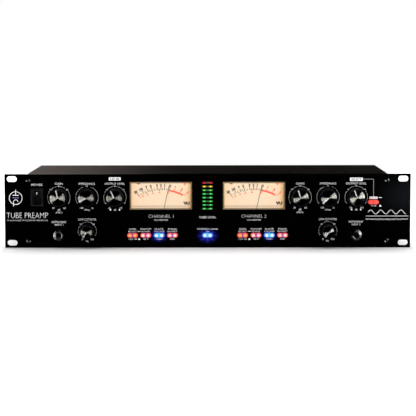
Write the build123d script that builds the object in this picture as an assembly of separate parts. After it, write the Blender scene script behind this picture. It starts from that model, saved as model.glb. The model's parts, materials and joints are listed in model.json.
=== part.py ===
from build123d import *
import math
import os

# A two-channel tube microphone preamplifier, two rack units high. Millimetres.
# +X is to the right as seen from the front, +Y points to the rear, +Z is up.
# The origin is the centre of the four rack slots, on the face that meets the rack's rails.

# Front panel and rack interface
RACK_WIDTH = 482.6
PANEL_HEIGHT = 88.1
PANEL_THICK = 3.0
SLOT_SPACING_X = 465.1
SLOT_SPACING_Z = 76.2
SLOT_LENGTH = 12.0
SLOT_HEIGHT = 6.8
PANEL_CORNER_R = 0.8
PANEL_EDGE = 0.3
BASE = -PANEL_HEIGHT / 2
FRONT = -PANEL_THICK

# How far a cutting shape runs past the face that it cuts
PAST = 1.0

# Sheet-metal case
SHEET = 1.2
CASE_HALF = 216.3
CASE_REAR = 162.0
TRAY_HALF = 214.95
FLANGE_HALF = 219.5
COVER_TOP = 43.05
COVER_GAP = 0.15
LIP_TOP = -30.0
LIP_FRONT = 6.0
FLOOR = BASE + SHEET
WALL_TOP = COVER_TOP - SHEET - COVER_GAP
REAR_IN = CASE_REAR - SHEET
REAR_FLANGE = 10.0
COVER_CLEARANCE = 0.3
COVER_BEND_R = 1.0
WALL_CLEARANCE = 0.3
VENT_COUNT = 12
VENT_PITCH = 6.5
VENT_FIRST_Y = 55.0
VENT_Z = 12.0
VENT_LENGTH = 26.0
VENT_WIDTH = 3.0

# Fasteners
M3_SHANK = 1.48
M3_HOLE = 1.5
M3_CLEAR = 1.7
PANEL_SCREW_X = 213.0
PANEL_SCREW_Z = 36.2
COVER_SCREW_Z = -36.0
COVER_SCREW_YS = (25.0, 80.0, 135.0)
HEAD_R = 2.8
HEAD_EDGE = 0.9
RECESS_LENGTH = 3.4
RECESS_WIDTH = 0.7
RECESS_DEPTH = 1.6
RECESS_Z = 1.8
HEAD_H = 2.0
SHANK_LENGTH = 5.0
SUNK_HEAD_R = 2.9
SUNK_HOLE_R = 3.1
SUNK_DEPTH = 1.7
SUNK_BELOW = 0.1
HEX_KEY = 2.5
HEX_DEPTH = 1.2
PANEL_SCREW_END = 3.0

# Knobs: name, x, z, pointer angle clockwise from twelve o'clock
KNOB_INNER_X = 110.0
KNOB_MIDDLE_X = 143.2
KNOB_OUTER_X = 176.7
KNOB_Z = 16.3
FILTER_Z = -24.2
BIG_KNOBS = (
    ("left_gain_knob", -KNOB_OUTER_X, -12.5),
    ("left_impedance_knob", -KNOB_MIDDLE_X, -117.0),
    ("left_output_knob", -KNOB_INNER_X, -26.6),
    ("right_gain_knob", KNOB_INNER_X, -17.5),
    ("right_impedance_knob", KNOB_MIDDLE_X, -132.0),
    ("right_output_knob", KNOB_OUTER_X, -21.0),
)
SMALL_KNOBS = (
    ("left_filter_knob", -KNOB_MIDDLE_X, -145.0),
    ("right_filter_knob", KNOB_MIDDLE_X, -145.0),
)
BIG_BASE_R = 10.8
BIG_FRONT_R = 10.0
BIG_DISC_R = 9.25
SMALL_BASE_R = 8.2
SMALL_FRONT_R = 7.4
SMALL_DISC_R = 6.8
KNOB_BACK = -3.8
KNOB_FRONT = -18.5
DISC_DEPTH = 0.6
SKIRT_THICK = 1.6
SKIRT_SLOPE = 0.6
SKIRT_STEP = 0.5
KNOB_EDGE = 0.6
BIG_HUB_R = 7.4
SMALL_HUB_R = 6.3
HUB_DEPTH = 3.2
FLUTES = 30
FLUTE_R = 0.45
FLUTE_OUT = 0.28
FLUTE_END = 3.0
NOTCH_WIDTH = 0.9
NOTCH_DEPTH = 0.5
NOTCH_OVERLAP = 0.2
SHAFT_R = 3.0
SHAFT_INSET = 3.0
SHAFT_END = 3.0
BUSHING_R = 3.5
BUSHING_HOLE_R = 3.6
BUSHING_PROUD = 6.0
RUNNING = 0.05
THREAD_GAP = 0.02
POT_W = 16.0
POT_H = 15.0
POT_BORE_END = 4.0
NUT_FLATS = 10.0
NUT_THICK = 2.0

# Power switch
SWITCH_X = -202.6
SWITCH_Z = 16.3
SWITCH_FRAME_W = 15.0
SWITCH_FRAME_H = 21.0
SWITCH_FRAME_PROUD = 1.4
SWITCH_FRAME_EDGE = 0.5
SWITCH_BODY_W = 12.8
SWITCH_BODY_H = 18.8
SWITCH_BODY_END = 20.0
SWITCH_POCKET_W = 10.6
SWITCH_POCKET_H = 17.2
SWITCH_POCKET_END = 8.0
PANEL_CUT_GAP = 0.4
WALL_CUT_GAP = 0.8
TAB_WIDTH = 6.3
TAB_THICK = 0.8
TAB_LENGTH = 8.0
TAB_PITCH = 5.0
ROCKER_TILT = 10.0
ROCKER_HALF = 5.0
ROCKER_SIDE = (
    (-5.6, -7.4), (-4.4, 0), (-5.6, 7.4), (-2.5, 7.8), (2.5, 4.0), (2.5, -4.0), (-2.5, -7.8), (-5.6, -7.4),
)
PIVOT_PIN_R = 1.0
PIVOT_PIN_HALF = 5.9
PIVOT_HOLE_R = 1.05
PIVOT_HOLE_HALF = 6.0
ROCKER_MARK_Y = -5.4
ROCKER_MARK_Z = 4.4
ROCKER_MARK_W = 0.8
ROCKER_MARK_H = 2.6
ROCKER_MARK_DEPTH = 1.0

# Level meters
METER_X = 55.3
METER_Z = 17.95
WINDOW_W = 73.5
WINDOW_H = 32.8
CAVITY_W = 74.0
CAVITY_LOW = -20.0
CAVITY_HIGH = 36.0
METER_WALL = 2.0
METER_DEPTH = 30.0
LENS_FRONT = -2.4
LENS_STEP = 0.3
LENS_BACK = 1.8
LENS_EDGE = 1.4
LENS_GAP = 0.3
INSIDE_GAP = 0.15
DIAL_FRONT = 9.0
DIAL_THICK = 0.8
DIAL_LOW = -7.5
PIVOT_Z = -12.4
MOVEMENT_FRONT = 11.0
MOVEMENT_HALF = 12.0
MOVEMENT_BELOW = 7.0
MOVEMENT_ABOVE = 12.0
ARBOR_R = 0.65
ARBOR_HOLE_R = 0.7
ARBOR_HOLE_END = 16.0
ARBOR_END = 14.0
HUB_R = 2.4
HUB_FRONT = 6.0
HUB_BACK = 8.0
NEEDLE_FRONT = 6.4
NEEDLE_THICK = 0.5
NEEDLE_WIDTH = 0.7
TAIL_THICK = 0.8
TAIL_WIDTH = 2.4
TAIL_LENGTH = 6.5
POINTER_LENGTH = 42.2
POINTER_REST = 12.9

# Level ladder
LAMP_X = 3.75
LAMP_ROWS = 8
LAMP_TOP_Z = 33.45
LAMP_PITCH = 4.41
LAMP_W = 5.0
LAMP_H = 2.0
LAMP_GAP = 0.1
LAMP_PROUD = 0.3
LADDER_CUT_HALF = 8.0
LADDER_CUT_LOW = 0.5
LADDER_CUT_HIGH = 35.5

# Push buttons
BUTTON_Z = -29.2
BUTTON_XS = (41.8, 57.7, 73.6, 89.3)
BUTTON_W = 12.6
BUTTON_H = 5.0
BUTTON_GAP = 0.35
BUTTON_WALL_GAP = 0.4
BUTTON_FRONT = -5.5
BUTTON_EDGE = 0.8
BUTTON_STEP = 1.6
BUTTON_FLANGE_BACK = 2.4
BUTTON_FLANGE_W = 2.4
BUTTON_FLANGE_H = 2.0
STEM_R = 1.5
STEM_END = 7.0
STEM_HOLE_R = 1.8
STEM_HOLE_END = 10.2
KEY_SWITCH_W = 8.0
KEY_SWITCH_H = 6.5
KEY_SWITCH_FRONT = 5.6
SELECT_X = 197.2
SELECT_Z = 10.2
BUTTONS = (
    ("left_boost_button", -BUTTON_XS[3], BUTTON_Z),
    ("left_phantom_button", -BUTTON_XS[2], BUTTON_Z),
    ("left_plate_button", -BUTTON_XS[1], BUTTON_Z),
    ("left_phase_button", -BUTTON_XS[0], BUTTON_Z),
    ("link_button", 0.0, BUTTON_Z),
    ("right_boost_button", BUTTON_XS[0], BUTTON_Z),
    ("right_phantom_button", BUTTON_XS[1], BUTTON_Z),
    ("right_plate_button", BUTTON_XS[2], BUTTON_Z),
    ("right_phase_button", BUTTON_XS[3], BUTTON_Z),
    ("select_button", SELECT_X, SELECT_Z),
)

# Quarter-inch jacks, front and rear
JACK_X = 176.7
JACK_Z = -29.1
JACK_BORE_R = 3.2
JACK_BUSHING_R = 4.6
JACK_HOLE_R = 4.8
JACK_DEPTH = 30.5
JACK_PROUD = 6.5
JACK_NUT_R = 7.0
JACK_NUT_THICK = 2.5
JACK_NUT_EDGE = 0.9
JACK_NUT_SLOT_W = 1.2
JACK_NUT_SLOT_DEPTH = 1.0
JACK_BODY = 15.0
JACK_END_WALL = 2.5

# Rear connectors, all centred on the same height
LINE_XS = (15.0, 115.0)
INPUT_XS = (85.0, 185.0)
OUTPUT_XS = (50.0, 150.0)
XLR_FLANGE_W = 26.0
XLR_FLANGE_H = 31.0
XLR_FLANGE = 2.5
XLR_BODY_R = 11.9
XLR_HOLE_R = 12.1
XLR_CAVITY_R = 9.4
XLR_SCREW_X = 9.5
XLR_SCREW_Z = 12.0
XLR_PIN_R = 1.2
XLR_PIN_CIRCLE = 5.0
XLR_PIN_BACK = 30.0
XLR_PIN_TIP = 0.5
XLR_PIN_EDGE = 0.8
XLR_CORNER_R = 2.5
XLR_DEPTH = 24.0
XLR_CAVITY_DEPTH = 12.0
XLR_CORE_R = 7.4
XLR_CORE_PROUD = 1.5
XLR_CONTACT_R = 1.35
XLR_CONTACT_DEPTH = 11.0
KEYWAY_HALF = 5.5
KEYWAY_DEPTH = 7.0
KEYWAY_LOW = 8.0
KEYWAY_HIGH = 14.1
LATCH_Z = 11.5
LATCH_W = 8.2
LATCH_H = 2.8
LATCH_BACK = 1.5
LATCH_PROUD = 4.7
LATCH_EDGE = 0.6
LATCH_SLOT_W = 9.0
LATCH_SLOT_H = 3.6
LATCH_SLOT_DEPTH = 5.0
LATCH_WALL_Z = 11.8
LATCH_WALL_W = 11.6
LATCH_WALL_H = 5.2

# Mains inlet with its fuse drawer
INLET_X = -180.0
INLET_FACE = CASE_REAR + XLR_FLANGE
INLET_FLANGE_W = 50.0
INLET_FLANGE_H = 33.0
INLET_CORNER_R = 5.0
INLET_BODY_W = 28.0
INLET_BODY_H = 30.0
INLET_WALL_GAP = 0.6
INLET_DEPTH = 22.0
INLET_SCREW_X = 20.0
SHROUD_Z = 5.0
SHROUD_W = 27.4
SHROUD_H = 19.4
SHROUD_PROUD = 1.5
SHROUD_WALL = 1.4
SOCKET_DEPTH = 14.0
BLADE_W = 2.0
BLADE_H = 4.0
BLADE_EDGE = 0.5
BLADE_X = 7.0
BLADE_LOW_Z = 3.0
BLADE_HIGH_Z = 7.0
DRAWER_Z = -10.1
DRAWER_W = 22.8
DRAWER_H = 6.6
DRAWER_DEPTH = 15.0
DRAWER_PROUD = 1.0
DRAWER_EDGE = 0.5
DRAWER_GAP = 0.8
TROUGH_HALF = 10.3
TROUGH_FROM = 13.0
TROUGH_TO = 7.4
TROUGH_BELOW = 2.2
GRIP_HALF = 4.0
GRIP_RISE = 1.6
FUSE_Y = CASE_REAR - 10.2
FUSE_RISE = 0.4
FUSE_HALF = 10.0
FUSE_CAP = 5.0
FUSE_CAP_R = 2.5
FUSE_GLASS_R = 2.3

# Boards
CONTROL_FRONT = 12.0
BOARD = 1.6
STANDOFF = 8.0
MAIN_LOW = FLOOR + STANDOFF
MAIN_TOP = MAIN_LOW + BOARD
BOARD_TOP = 36.0
BOARD_BOTTOM = -40.0
WING_BOTTOM = -24.0
WING_INNER = 96.0
BOARD_LEFT = -191.0
BOARD_RIGHT = 208.0
TONGUE_HALF = 12.0
JACK_CUTOUT = 16.0
MAIN_LEFT = -125.0
MAIN_RIGHT = 205.0
MAIN_FRONT_Y = 34.0
MAIN_REAR_Y = 150.0
STANDOFF_FLATS = 6.0
STANDOFF_FLOOR = 1.0
MAIN_SCREWS = ((-118.0, 42.0), (-118.0, 142.0), (45.0, 42.0), (30.0, 142.0), (198.0, 42.0), (198.0, 142.0))

# Tubes
TUBE_XS = (60.0, 110.0)
TUBE_Y = 85.0
TUBE_SOCKET_R = 12.0
TUBE_SOCKET_H = 9.0
TUBE_WELL_R = 10.8
TUBE_LOW = MAIN_TOP + 6.0
TUBE_R = 10.3
TUBE_H = 44.0
TUBE_SHOULDER_R = 6.0
TUBE_WALL = 0.9
TUBE_BASE = 3.0
TUBE_TOP_WALL = 1.0
TUBE_INNER_SHOULDER_R = 5.2
TIP_R = 1.6
TIP_LOW = 43.5
TIP_HIGH = 48.0
ELECTRODE_LOW = MAIN_TOP + 9.0
ANODE_R = 5.2
ANODE_FROM = 4.0
ANODE_TO = 30.0
MICA_R = 8.8
MICA_THICK = 0.8
MICA_ZS = (5.0, 28.0)
STALK_R = 1.5

# Transformer, lying across the case
TRANSFORMER_X = -160.0
TRANSFORMER_Y = 78.0
CORE_HALF_X = 33.0
CORE_HALF_Y = 15.0
CORE_H = 54.0
CORE_WINDOW_X = 16.5
CORE_WINDOW_HALF = 5.5
CORE_WINDOW_LOW = 11.0
CORE_WINDOW_HIGH = 43.0
COIL_HALF_X = 21.8
COIL_HALF_Y = 25.0
COIL_CORNER_R = 6.0
COIL_GAP = 0.2
LIMB_HALF_X = 11.1
LIMB_HALF_Y = 15.1
CLAMP_HALF_Y = 12.0
CLAMP_GAP = 0.1
FOOT_X = 41.0
FOOT_END = 46.0
FOOT_START = 34.0
FOOT_H = 4.0
FOOT_R = 3.5

# Power supply parts on the main board
CAN_R = 8.0
CAN_H = 30.0
CAN_EDGE = 1.0
CAN_PLACES = ((-100.0, 66.0), (-80.0, 66.0), (-100.0, 88.0), (-80.0, 88.0))
SINK_LEFT = -60.0
SINK_LENGTH = 60.0
SINK_Y = 100.0
SINK_BACK = 3.0
SINK_DEPTH = 18.0
SINK_H = 40.0
FIN_COUNT = 9
FIN_THICK = 2.0
REGULATOR_XS = (-48.0, -30.0, -12.0)
REGULATOR_HALF = 5.0
REGULATOR_THICK = 4.5
REGULATOR_LOW = 12.0
REGULATOR_HIGH = 28.0


def block(x0, x1, y0, y1, z0, z1):
    centre = Pos((x0 + x1) / 2, (y0 + y1) / 2, (z0 + z1) / 2)
    return centre * Box(x1 - x0, y1 - y0, z1 - z0)


def plate(x, z, w, h, y0, y1):
    return block(x - w / 2, x + w / 2, y0, y1, z - h / 2, z + h / 2)


def rod(x, z, y0, y1, r):
    return Pos(x, (y0 + y1) / 2, z) * Rot(90, 0, 0) * Cylinder(r, y1 - y0)


def post(x, y, z0, z1, r):
    return Pos(x, y, (z0 + z1) / 2) * Cylinder(r, z1 - z0)


def side_rod(x0, x1, y, z, r):
    return Pos((x0 + x1) / 2, y, z) * Rot(0, 90, 0) * Cylinder(r, x1 - x0)


def pill(x, z, w, h, y0, y1):
    outline = Plane.XZ * SlotOverall(w, h)
    return Pos(x, y1, z) * extrude(outline, y1 - y0)


def hexagon(x, z, y0, y1, across_flats):
    outline = Plane.XZ * RegularPolygon(across_flats / 2, 6, major_radius=False)
    return Pos(x, y1, z) * extrude(outline, y1 - y0)


def save(name, *solids):
    shape = solids[0] if len(solids) == 1 else Compound(children=list(solids))
    export_step(shape, f"parts/{name}.step")


def knob_places():
    big = [(x, KNOB_Z) for _, x, _ in BIG_KNOBS]
    small = [(x, FILTER_Z) for _, x, _ in SMALL_KNOBS]
    return big + small


def lamp_places():
    rows = [LAMP_TOP_Z - LAMP_PITCH * row for row in range(LAMP_ROWS)]
    return [(x, z) for x in (-LAMP_X, LAMP_X) for z in rows]


def screw_places():
    return [(sx * PANEL_SCREW_X, sz * PANEL_SCREW_Z) for sx in (-1, 1) for sz in (-1, 1)]


def rear_screw_places():
    sockets = [(x + s * XLR_SCREW_X, s * XLR_SCREW_Z) for x in INPUT_XS + OUTPUT_XS for s in (-1, 1)]
    return sockets + [(INLET_X + s * INLET_SCREW_X, 0) for s in (-1, 1)]


def button_holes(gap, y0, y1):
    return [pill(x, z, BUTTON_W + 2 * gap, BUTTON_H + 2 * gap, y0, y1) for _, x, z in BUTTONS]


def switch_hole(gap, y0, y1):
    return plate(SWITCH_X, SWITCH_Z, SWITCH_BODY_W + gap, SWITCH_BODY_H + gap, y0, y1)


def front_panel():
    y0, y1 = FRONT - PAST, PAST
    shape = plate(0, 0, RACK_WIDTH, PANEL_HEIGHT, FRONT, 0)
    shape = fillet(shape.edges().filter_by(Axis.Y), PANEL_CORNER_R)
    shape = chamfer(shape.faces().sort_by(Axis.Y)[0].edges(), PANEL_EDGE)
    cuts = []
    for x, z in screw_places():
        cuts.append(rod(x, z, y0, y1, M3_CLEAR))
        cuts.append(rod(x, z, y0, FRONT + SUNK_DEPTH, SUNK_HOLE_R))
    for sx in (-1, 1):
        for sz in (-1, 1):
            slot_x, slot_z = sx * SLOT_SPACING_X / 2, sz * SLOT_SPACING_Z / 2
            cuts.append(pill(slot_x, slot_z, SLOT_LENGTH, SLOT_HEIGHT, y0, y1))
        cuts.append(plate(sx * METER_X, METER_Z, WINDOW_W, WINDOW_H, y0, y1))
        cuts.append(rod(sx * JACK_X, JACK_Z, y0, y1, JACK_HOLE_R))
    cuts += [rod(x, z, y0, y1, BUSHING_HOLE_R) for x, z in knob_places()]
    cuts += [plate(x, z, LAMP_W + LAMP_GAP, LAMP_H + LAMP_GAP, y0, y1) for x, z in lamp_places()]
    cuts += button_holes(BUTTON_GAP, y0, y1)
    cuts.append(switch_hole(PANEL_CUT_GAP, y0, y1))
    return shape - cuts


def panel_screws():
    screws = []
    for x, z in screw_places():
        head = rod(x, z, FRONT + SUNK_BELOW, FRONT + SUNK_DEPTH, SUNK_HEAD_R)
        screw = head + rod(x, z, FRONT + SUNK_DEPTH, PANEL_SCREW_END, M3_SHANK)
        screws.append(screw - hexagon(x, z, FRONT, FRONT + HEX_DEPTH, HEX_KEY))
    return screws


def front_wall_cuts():
    y0, y1 = -PAST, SHEET + PAST
    cuts = [rod(x, z, y0, y1, M3_HOLE) for x, z in screw_places()]
    for sx in (-1, 1):
        cuts.append(meter_box(sx, METER_WALL + WALL_CLEARANCE, y0, y1))
        cuts.append(rod(sx * JACK_X, JACK_Z, y0, y1, JACK_HOLE_R))
    cuts += [rod(x, z, y0, y1, BUSHING_HOLE_R) for x, z in knob_places()]
    cuts += button_holes(BUTTON_WALL_GAP, y0, y1)
    cuts.append(block(-LADDER_CUT_HALF, LADDER_CUT_HALF, y0, y1, LADDER_CUT_LOW, LADDER_CUT_HIGH))
    cuts.append(switch_hole(WALL_CUT_GAP, y0, y1))
    return cuts


def rear_wall_cuts():
    y0, y1 = REAR_IN - PAST, CASE_REAR + PAST
    cuts = [rod(x, 0, y0, y1, XLR_HOLE_R) for x in INPUT_XS + OUTPUT_XS]
    cuts += [plate(x, LATCH_WALL_Z, LATCH_WALL_W, LATCH_WALL_H, y0, y1) for x in INPUT_XS]
    cuts += [rod(x, 0, y0, y1, JACK_HOLE_R) for x in LINE_XS]
    cuts += [rod(x, z, y0, y1, M3_HOLE) for x, z in rear_screw_places()]
    cuts.append(plate(INLET_X, 0, INLET_BODY_W + INLET_WALL_GAP, INLET_BODY_H + INLET_WALL_GAP, y0, y1))
    return cuts


def transformer_feet():
    return [(TRANSFORMER_X + sx * FOOT_X, TRANSFORMER_Y) for sx in (-1, 1)]


def chassis_tray():
    shape = block(-TRAY_HALF, TRAY_HALF, 0, CASE_REAR, BASE, FLOOR)
    shape += block(-FLANGE_HALF, FLANGE_HALF, 0, SHEET, BASE, COVER_TOP)
    shape += block(-TRAY_HALF, TRAY_HALF, REAR_IN, CASE_REAR, BASE, WALL_TOP)
    shape += block(-TRAY_HALF, TRAY_HALF, REAR_IN - REAR_FLANGE, CASE_REAR, WALL_TOP - SHEET, WALL_TOP)
    cuts = front_wall_cuts() + rear_wall_cuts()
    for sx in (-1, 1):
        inner, outer = sorted((sx * (TRAY_HALF - SHEET), sx * TRAY_HALF))
        shape += block(inner, outer, LIP_FRONT, CASE_REAR, BASE, LIP_TOP)
        for y in COVER_SCREW_YS:
            cuts.append(side_rod(inner - PAST, outer + PAST, y, COVER_SCREW_Z, M3_HOLE))
    for x, y in transformer_feet():
        shape += post(x, y, FLOOR, FLOOR + FOOT_H, FOOT_R)
        cuts.append(post(x, y, FLOOR, FLOOR + FOOT_H + PAST, M3_HOLE))
    return shape - cuts


def top_cover():
    front = SHEET + COVER_GAP
    inner = CASE_HALF - SHEET
    outer = CASE_HALF + PAST
    shape = block(-CASE_HALF, CASE_HALF, front, CASE_REAR, BASE + COVER_CLEARANCE, COVER_TOP)
    shape -= block(-inner, inner, front - PAST, CASE_REAR + PAST, BASE - PAST, COVER_TOP - SHEET)
    shape = fillet(shape.edges().filter_by(Axis.Y).group_by(Axis.Z)[-1], COVER_BEND_R)
    cuts = [side_rod(-outer, outer, y, COVER_SCREW_Z, M3_CLEAR) for y in COVER_SCREW_YS]
    vent = extrude(Plane.YZ * SlotOverall(VENT_LENGTH, VENT_WIDTH, rotation=90), 2 * outer)
    cuts += [Pos(-outer, VENT_FIRST_Y + VENT_PITCH * column, VENT_Z) * vent for column in range(VENT_COUNT)]
    return shape - cuts


def cover_screws():
    right, left = Rot(0, 90, 0) * pan_screw(), Rot(0, -90, 0) * pan_screw()
    screws = [Pos(CASE_HALF, y, COVER_SCREW_Z) * right for y in COVER_SCREW_YS]
    return screws + [Pos(-CASE_HALF, y, COVER_SCREW_Z) * left for y in COVER_SCREW_YS]


def pan_screw():
    """One M3 pan-head screw, head up, with its seat at the origin."""
    head = fillet(post(0, 0, 0, HEAD_H, HEAD_R).edges().group_by(Axis.Z)[-1], HEAD_EDGE)
    recess = Box(RECESS_LENGTH, RECESS_WIDTH, RECESS_DEPTH) + Box(RECESS_WIDTH, RECESS_LENGTH, RECESS_DEPTH)
    return head + post(0, 0, -SHANK_LENGTH, 0, M3_SHANK) - Pos(0, 0, RECESS_Z) * recess


def machine_screws():
    screw = pan_screw()
    rearward = Rot(-90, 0, 0) * screw
    seats = [Pos(x, y, MAIN_TOP) * screw for x, y in MAIN_SCREWS]
    seats += [Pos(x, y, FLOOR + FOOT_H + SHEET) * screw for x, y in transformer_feet()]
    return seats + [Pos(x, INLET_FACE, z) * rearward for x, z in rear_screw_places()]


def knob(base_r, front_r, disc_r, hub_r):
    """A knob about the Y axis through the origin, pointer up, with its shaft as a second solid."""
    skirt = KNOB_BACK - SKIRT_THICK
    profile = Polyline(
        (0, KNOB_BACK), (base_r, KNOB_BACK), (base_r, skirt), (base_r - SKIRT_STEP, skirt - SKIRT_SLOPE),
        (front_r, KNOB_FRONT + KNOB_EDGE), (front_r - KNOB_EDGE, KNOB_FRONT), (0, KNOB_FRONT), (0, KNOB_BACK),
    )
    turned = revolve(make_face(profile), Axis.Y)
    turned -= rod(0, 0, KNOB_BACK - HUB_DEPTH, KNOB_BACK + PAST, hub_r)
    turned -= rod(0, 0, KNOB_FRONT - PAST, KNOB_FRONT + DISC_DEPTH, disc_r)
    turned -= rod(0, 0, KNOB_FRONT + SHAFT_INSET, KNOB_BACK, SHAFT_R)
    flute = rod(0, front_r + FLUTE_OUT, KNOB_FRONT - PAST, KNOB_BACK - FLUTE_END, FLUTE_R)
    flutes = [Rot(0, 360.0 / FLUTES * (turn + 0.5), 0) * flute for turn in range(FLUTES)]
    half, low, high = NOTCH_WIDTH / 2, disc_r - NOTCH_OVERLAP, front_r + PAST
    notch = block(-half, half, KNOB_FRONT - PAST, KNOB_FRONT + NOTCH_DEPTH, low, high)
    shaft = rod(0, 0, KNOB_FRONT + SHAFT_INSET, SHAFT_END, SHAFT_R)
    return turned - flutes - notch, shaft


def save_knobs():
    for kinds, z, sizes in (
        (BIG_KNOBS, KNOB_Z, (BIG_BASE_R, BIG_FRONT_R, BIG_DISC_R, BIG_HUB_R)),
        (SMALL_KNOBS, FILTER_Z, (SMALL_BASE_R, SMALL_FRONT_R, SMALL_DISC_R, SMALL_HUB_R)),
    ):
        body, shaft = knob(*sizes)
        for name, x, angle in kinds:
            place = Pos(x, 0, z) * Rot(0, angle, 0)
            save(name, place * body, place * shaft)


def potentiometers():
    pots = []
    for x, z in knob_places():
        pot = plate(x, z, POT_W, POT_H, SHEET, CONTROL_FRONT)
        pot += rod(x, z, -BUSHING_PROUD, SHEET, BUSHING_R)
        pots.append(pot - rod(x, z, -BUSHING_PROUD - PAST, POT_BORE_END, SHAFT_R + RUNNING))
    return pots


def pot_nuts():
    nuts = []
    for x, z in knob_places():
        thread = rod(x, z, FRONT - NUT_THICK - PAST, FRONT + PAST, BUSHING_R + THREAD_GAP)
        nuts.append(hexagon(x, z, FRONT - NUT_THICK, FRONT, NUT_FLATS) - thread)
    return nuts


def power_switch_body():
    x, z, rear = SWITCH_X, SWITCH_Z, SWITCH_BODY_END
    shape = plate(x, z, SWITCH_FRAME_W, SWITCH_FRAME_H, FRONT - SWITCH_FRAME_PROUD, FRONT)
    shape = chamfer(shape.faces().sort_by(Axis.Y)[0].edges(), SWITCH_FRAME_EDGE)
    shape += plate(x, z, SWITCH_BODY_W, SWITCH_BODY_H, FRONT, rear)
    shape -= plate(x, z, SWITCH_POCKET_W, SWITCH_POCKET_H, FRONT - 2 * PAST, SWITCH_POCKET_END)
    shape -= side_rod(x - PIVOT_HOLE_HALF, x + PIVOT_HOLE_HALF, 0, z, PIVOT_HOLE_R)
    for row in (-1, 0, 1):
        shape += plate(x, z + row * TAB_PITCH, TAB_WIDTH, TAB_THICK, rear, rear + TAB_LENGTH)
    return shape


def power_rocker():
    """A rocker on two pivot pins along the X axis, on at rest: its top is pressed in."""
    body = extrude(make_face(Plane.YZ * Polyline(*ROCKER_SIDE)), ROCKER_HALF, both=True)
    body += side_rod(-PIVOT_PIN_HALF, PIVOT_PIN_HALF, 0, 0, PIVOT_PIN_R)
    body -= Pos(0, ROCKER_MARK_Y, ROCKER_MARK_Z) * Box(ROCKER_MARK_W, ROCKER_MARK_DEPTH, ROCKER_MARK_H)
    return Pos(SWITCH_X, 0, SWITCH_Z) * Rot(-ROCKER_TILT, 0, 0) * body


def meter_box(sx, grow, y0, y1):
    half = CAVITY_W / 2 + grow
    return block(sx * METER_X - half, sx * METER_X + half, y0, y1, CAVITY_LOW - grow, CAVITY_HIGH + grow)


def meter_housing(sx):
    shape = meter_box(sx, METER_WALL, 0, METER_DEPTH)
    return shape - meter_box(sx, 0, -PAST, METER_DEPTH - METER_WALL)


def meter_lens(sx):
    shape = plate(sx * METER_X, METER_Z, WINDOW_W - LENS_GAP, WINDOW_H - LENS_GAP, LENS_FRONT, LENS_STEP)
    rim = shape.faces().sort_by(Axis.Y)[0]
    shape = chamfer(rim.edges(), LENS_EDGE)
    return shape + meter_box(sx, -INSIDE_GAP, LENS_STEP, LENS_BACK)


def meter_dial(sx):
    x = sx * METER_X
    half = CAVITY_W / 2 - INSIDE_GAP
    rear = DIAL_FRONT + DIAL_THICK
    return block(x - half, x + half, DIAL_FRONT, rear, DIAL_LOW, CAVITY_HIGH - INSIDE_GAP)


def meter_movement(sx):
    x = sx * METER_X
    low, high = PIVOT_Z - MOVEMENT_BELOW, PIVOT_Z + MOVEMENT_ABOVE
    rear = METER_DEPTH - METER_WALL
    shape = block(x - MOVEMENT_HALF, x + MOVEMENT_HALF, MOVEMENT_FRONT, rear, low, high)
    return shape - rod(x, PIVOT_Z, MOVEMENT_FRONT - PAST, ARBOR_HOLE_END, ARBOR_HOLE_R)


def meter_pointer(sx):
    """Needle, hub and balance tail on a short arbor, leaning right of the vertical at rest."""
    back = NEEDLE_FRONT + NEEDLE_THICK
    shape = block(-NEEDLE_WIDTH / 2, NEEDLE_WIDTH / 2, NEEDLE_FRONT, back, 0, POINTER_LENGTH)
    shape += block(-TAIL_WIDTH / 2, TAIL_WIDTH / 2, NEEDLE_FRONT, NEEDLE_FRONT + TAIL_THICK, -TAIL_LENGTH, 0)
    shape += rod(0, 0, HUB_FRONT, HUB_BACK, HUB_R)
    shape += rod(0, 0, HUB_BACK, ARBOR_END, ARBOR_R)
    return Pos(sx * METER_X, 0, PIVOT_Z) * Rot(0, POINTER_REST, 0) * shape


def level_lamps():
    return [plate(x, z, LAMP_W, LAMP_H, FRONT - LAMP_PROUD, CONTROL_FRONT) for x, z in lamp_places()]


def push_button(x, z):
    cap = pill(x, z, BUTTON_W, BUTTON_H, BUTTON_FRONT, BUTTON_STEP)
    cap = fillet(cap.faces().sort_by(Axis.Y)[0].edges(), BUTTON_EDGE)
    w, h = BUTTON_W + BUTTON_FLANGE_W, BUTTON_H + BUTTON_FLANGE_H
    flange = pill(x, z, w, h, BUTTON_STEP, BUTTON_FLANGE_BACK)
    return cap + flange + rod(x, z, BUTTON_FLANGE_BACK, STEM_END, STEM_R)


def button_switches():
    switches = []
    for _, x, z in BUTTONS:
        body = plate(x, z, KEY_SWITCH_W, KEY_SWITCH_H, KEY_SWITCH_FRONT, CONTROL_FRONT)
        switches.append(body - rod(x, z, KEY_SWITCH_FRONT - PAST, STEM_HOLE_END, STEM_HOLE_R))
    return switches


def jack(x, z, face, inward):
    """A quarter-inch jack whose bushing passes a wall; inward is +1 into the case from the front."""
    wall = face + inward * (SHEET if inward < 0 else PANEL_THICK + SHEET)
    mouth = face - inward * JACK_PROUD
    bushing = rod(x, z, *sorted((mouth, wall)), JACK_BUSHING_R)
    body_end = mouth + inward * (JACK_DEPTH + JACK_END_WALL)
    body = plate(x, z, JACK_BODY, JACK_BODY, *sorted((wall, body_end)))
    bore = sorted((mouth - inward * PAST, mouth + inward * JACK_DEPTH))
    return body + bushing - rod(x, z, *bore, JACK_BORE_R)


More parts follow.
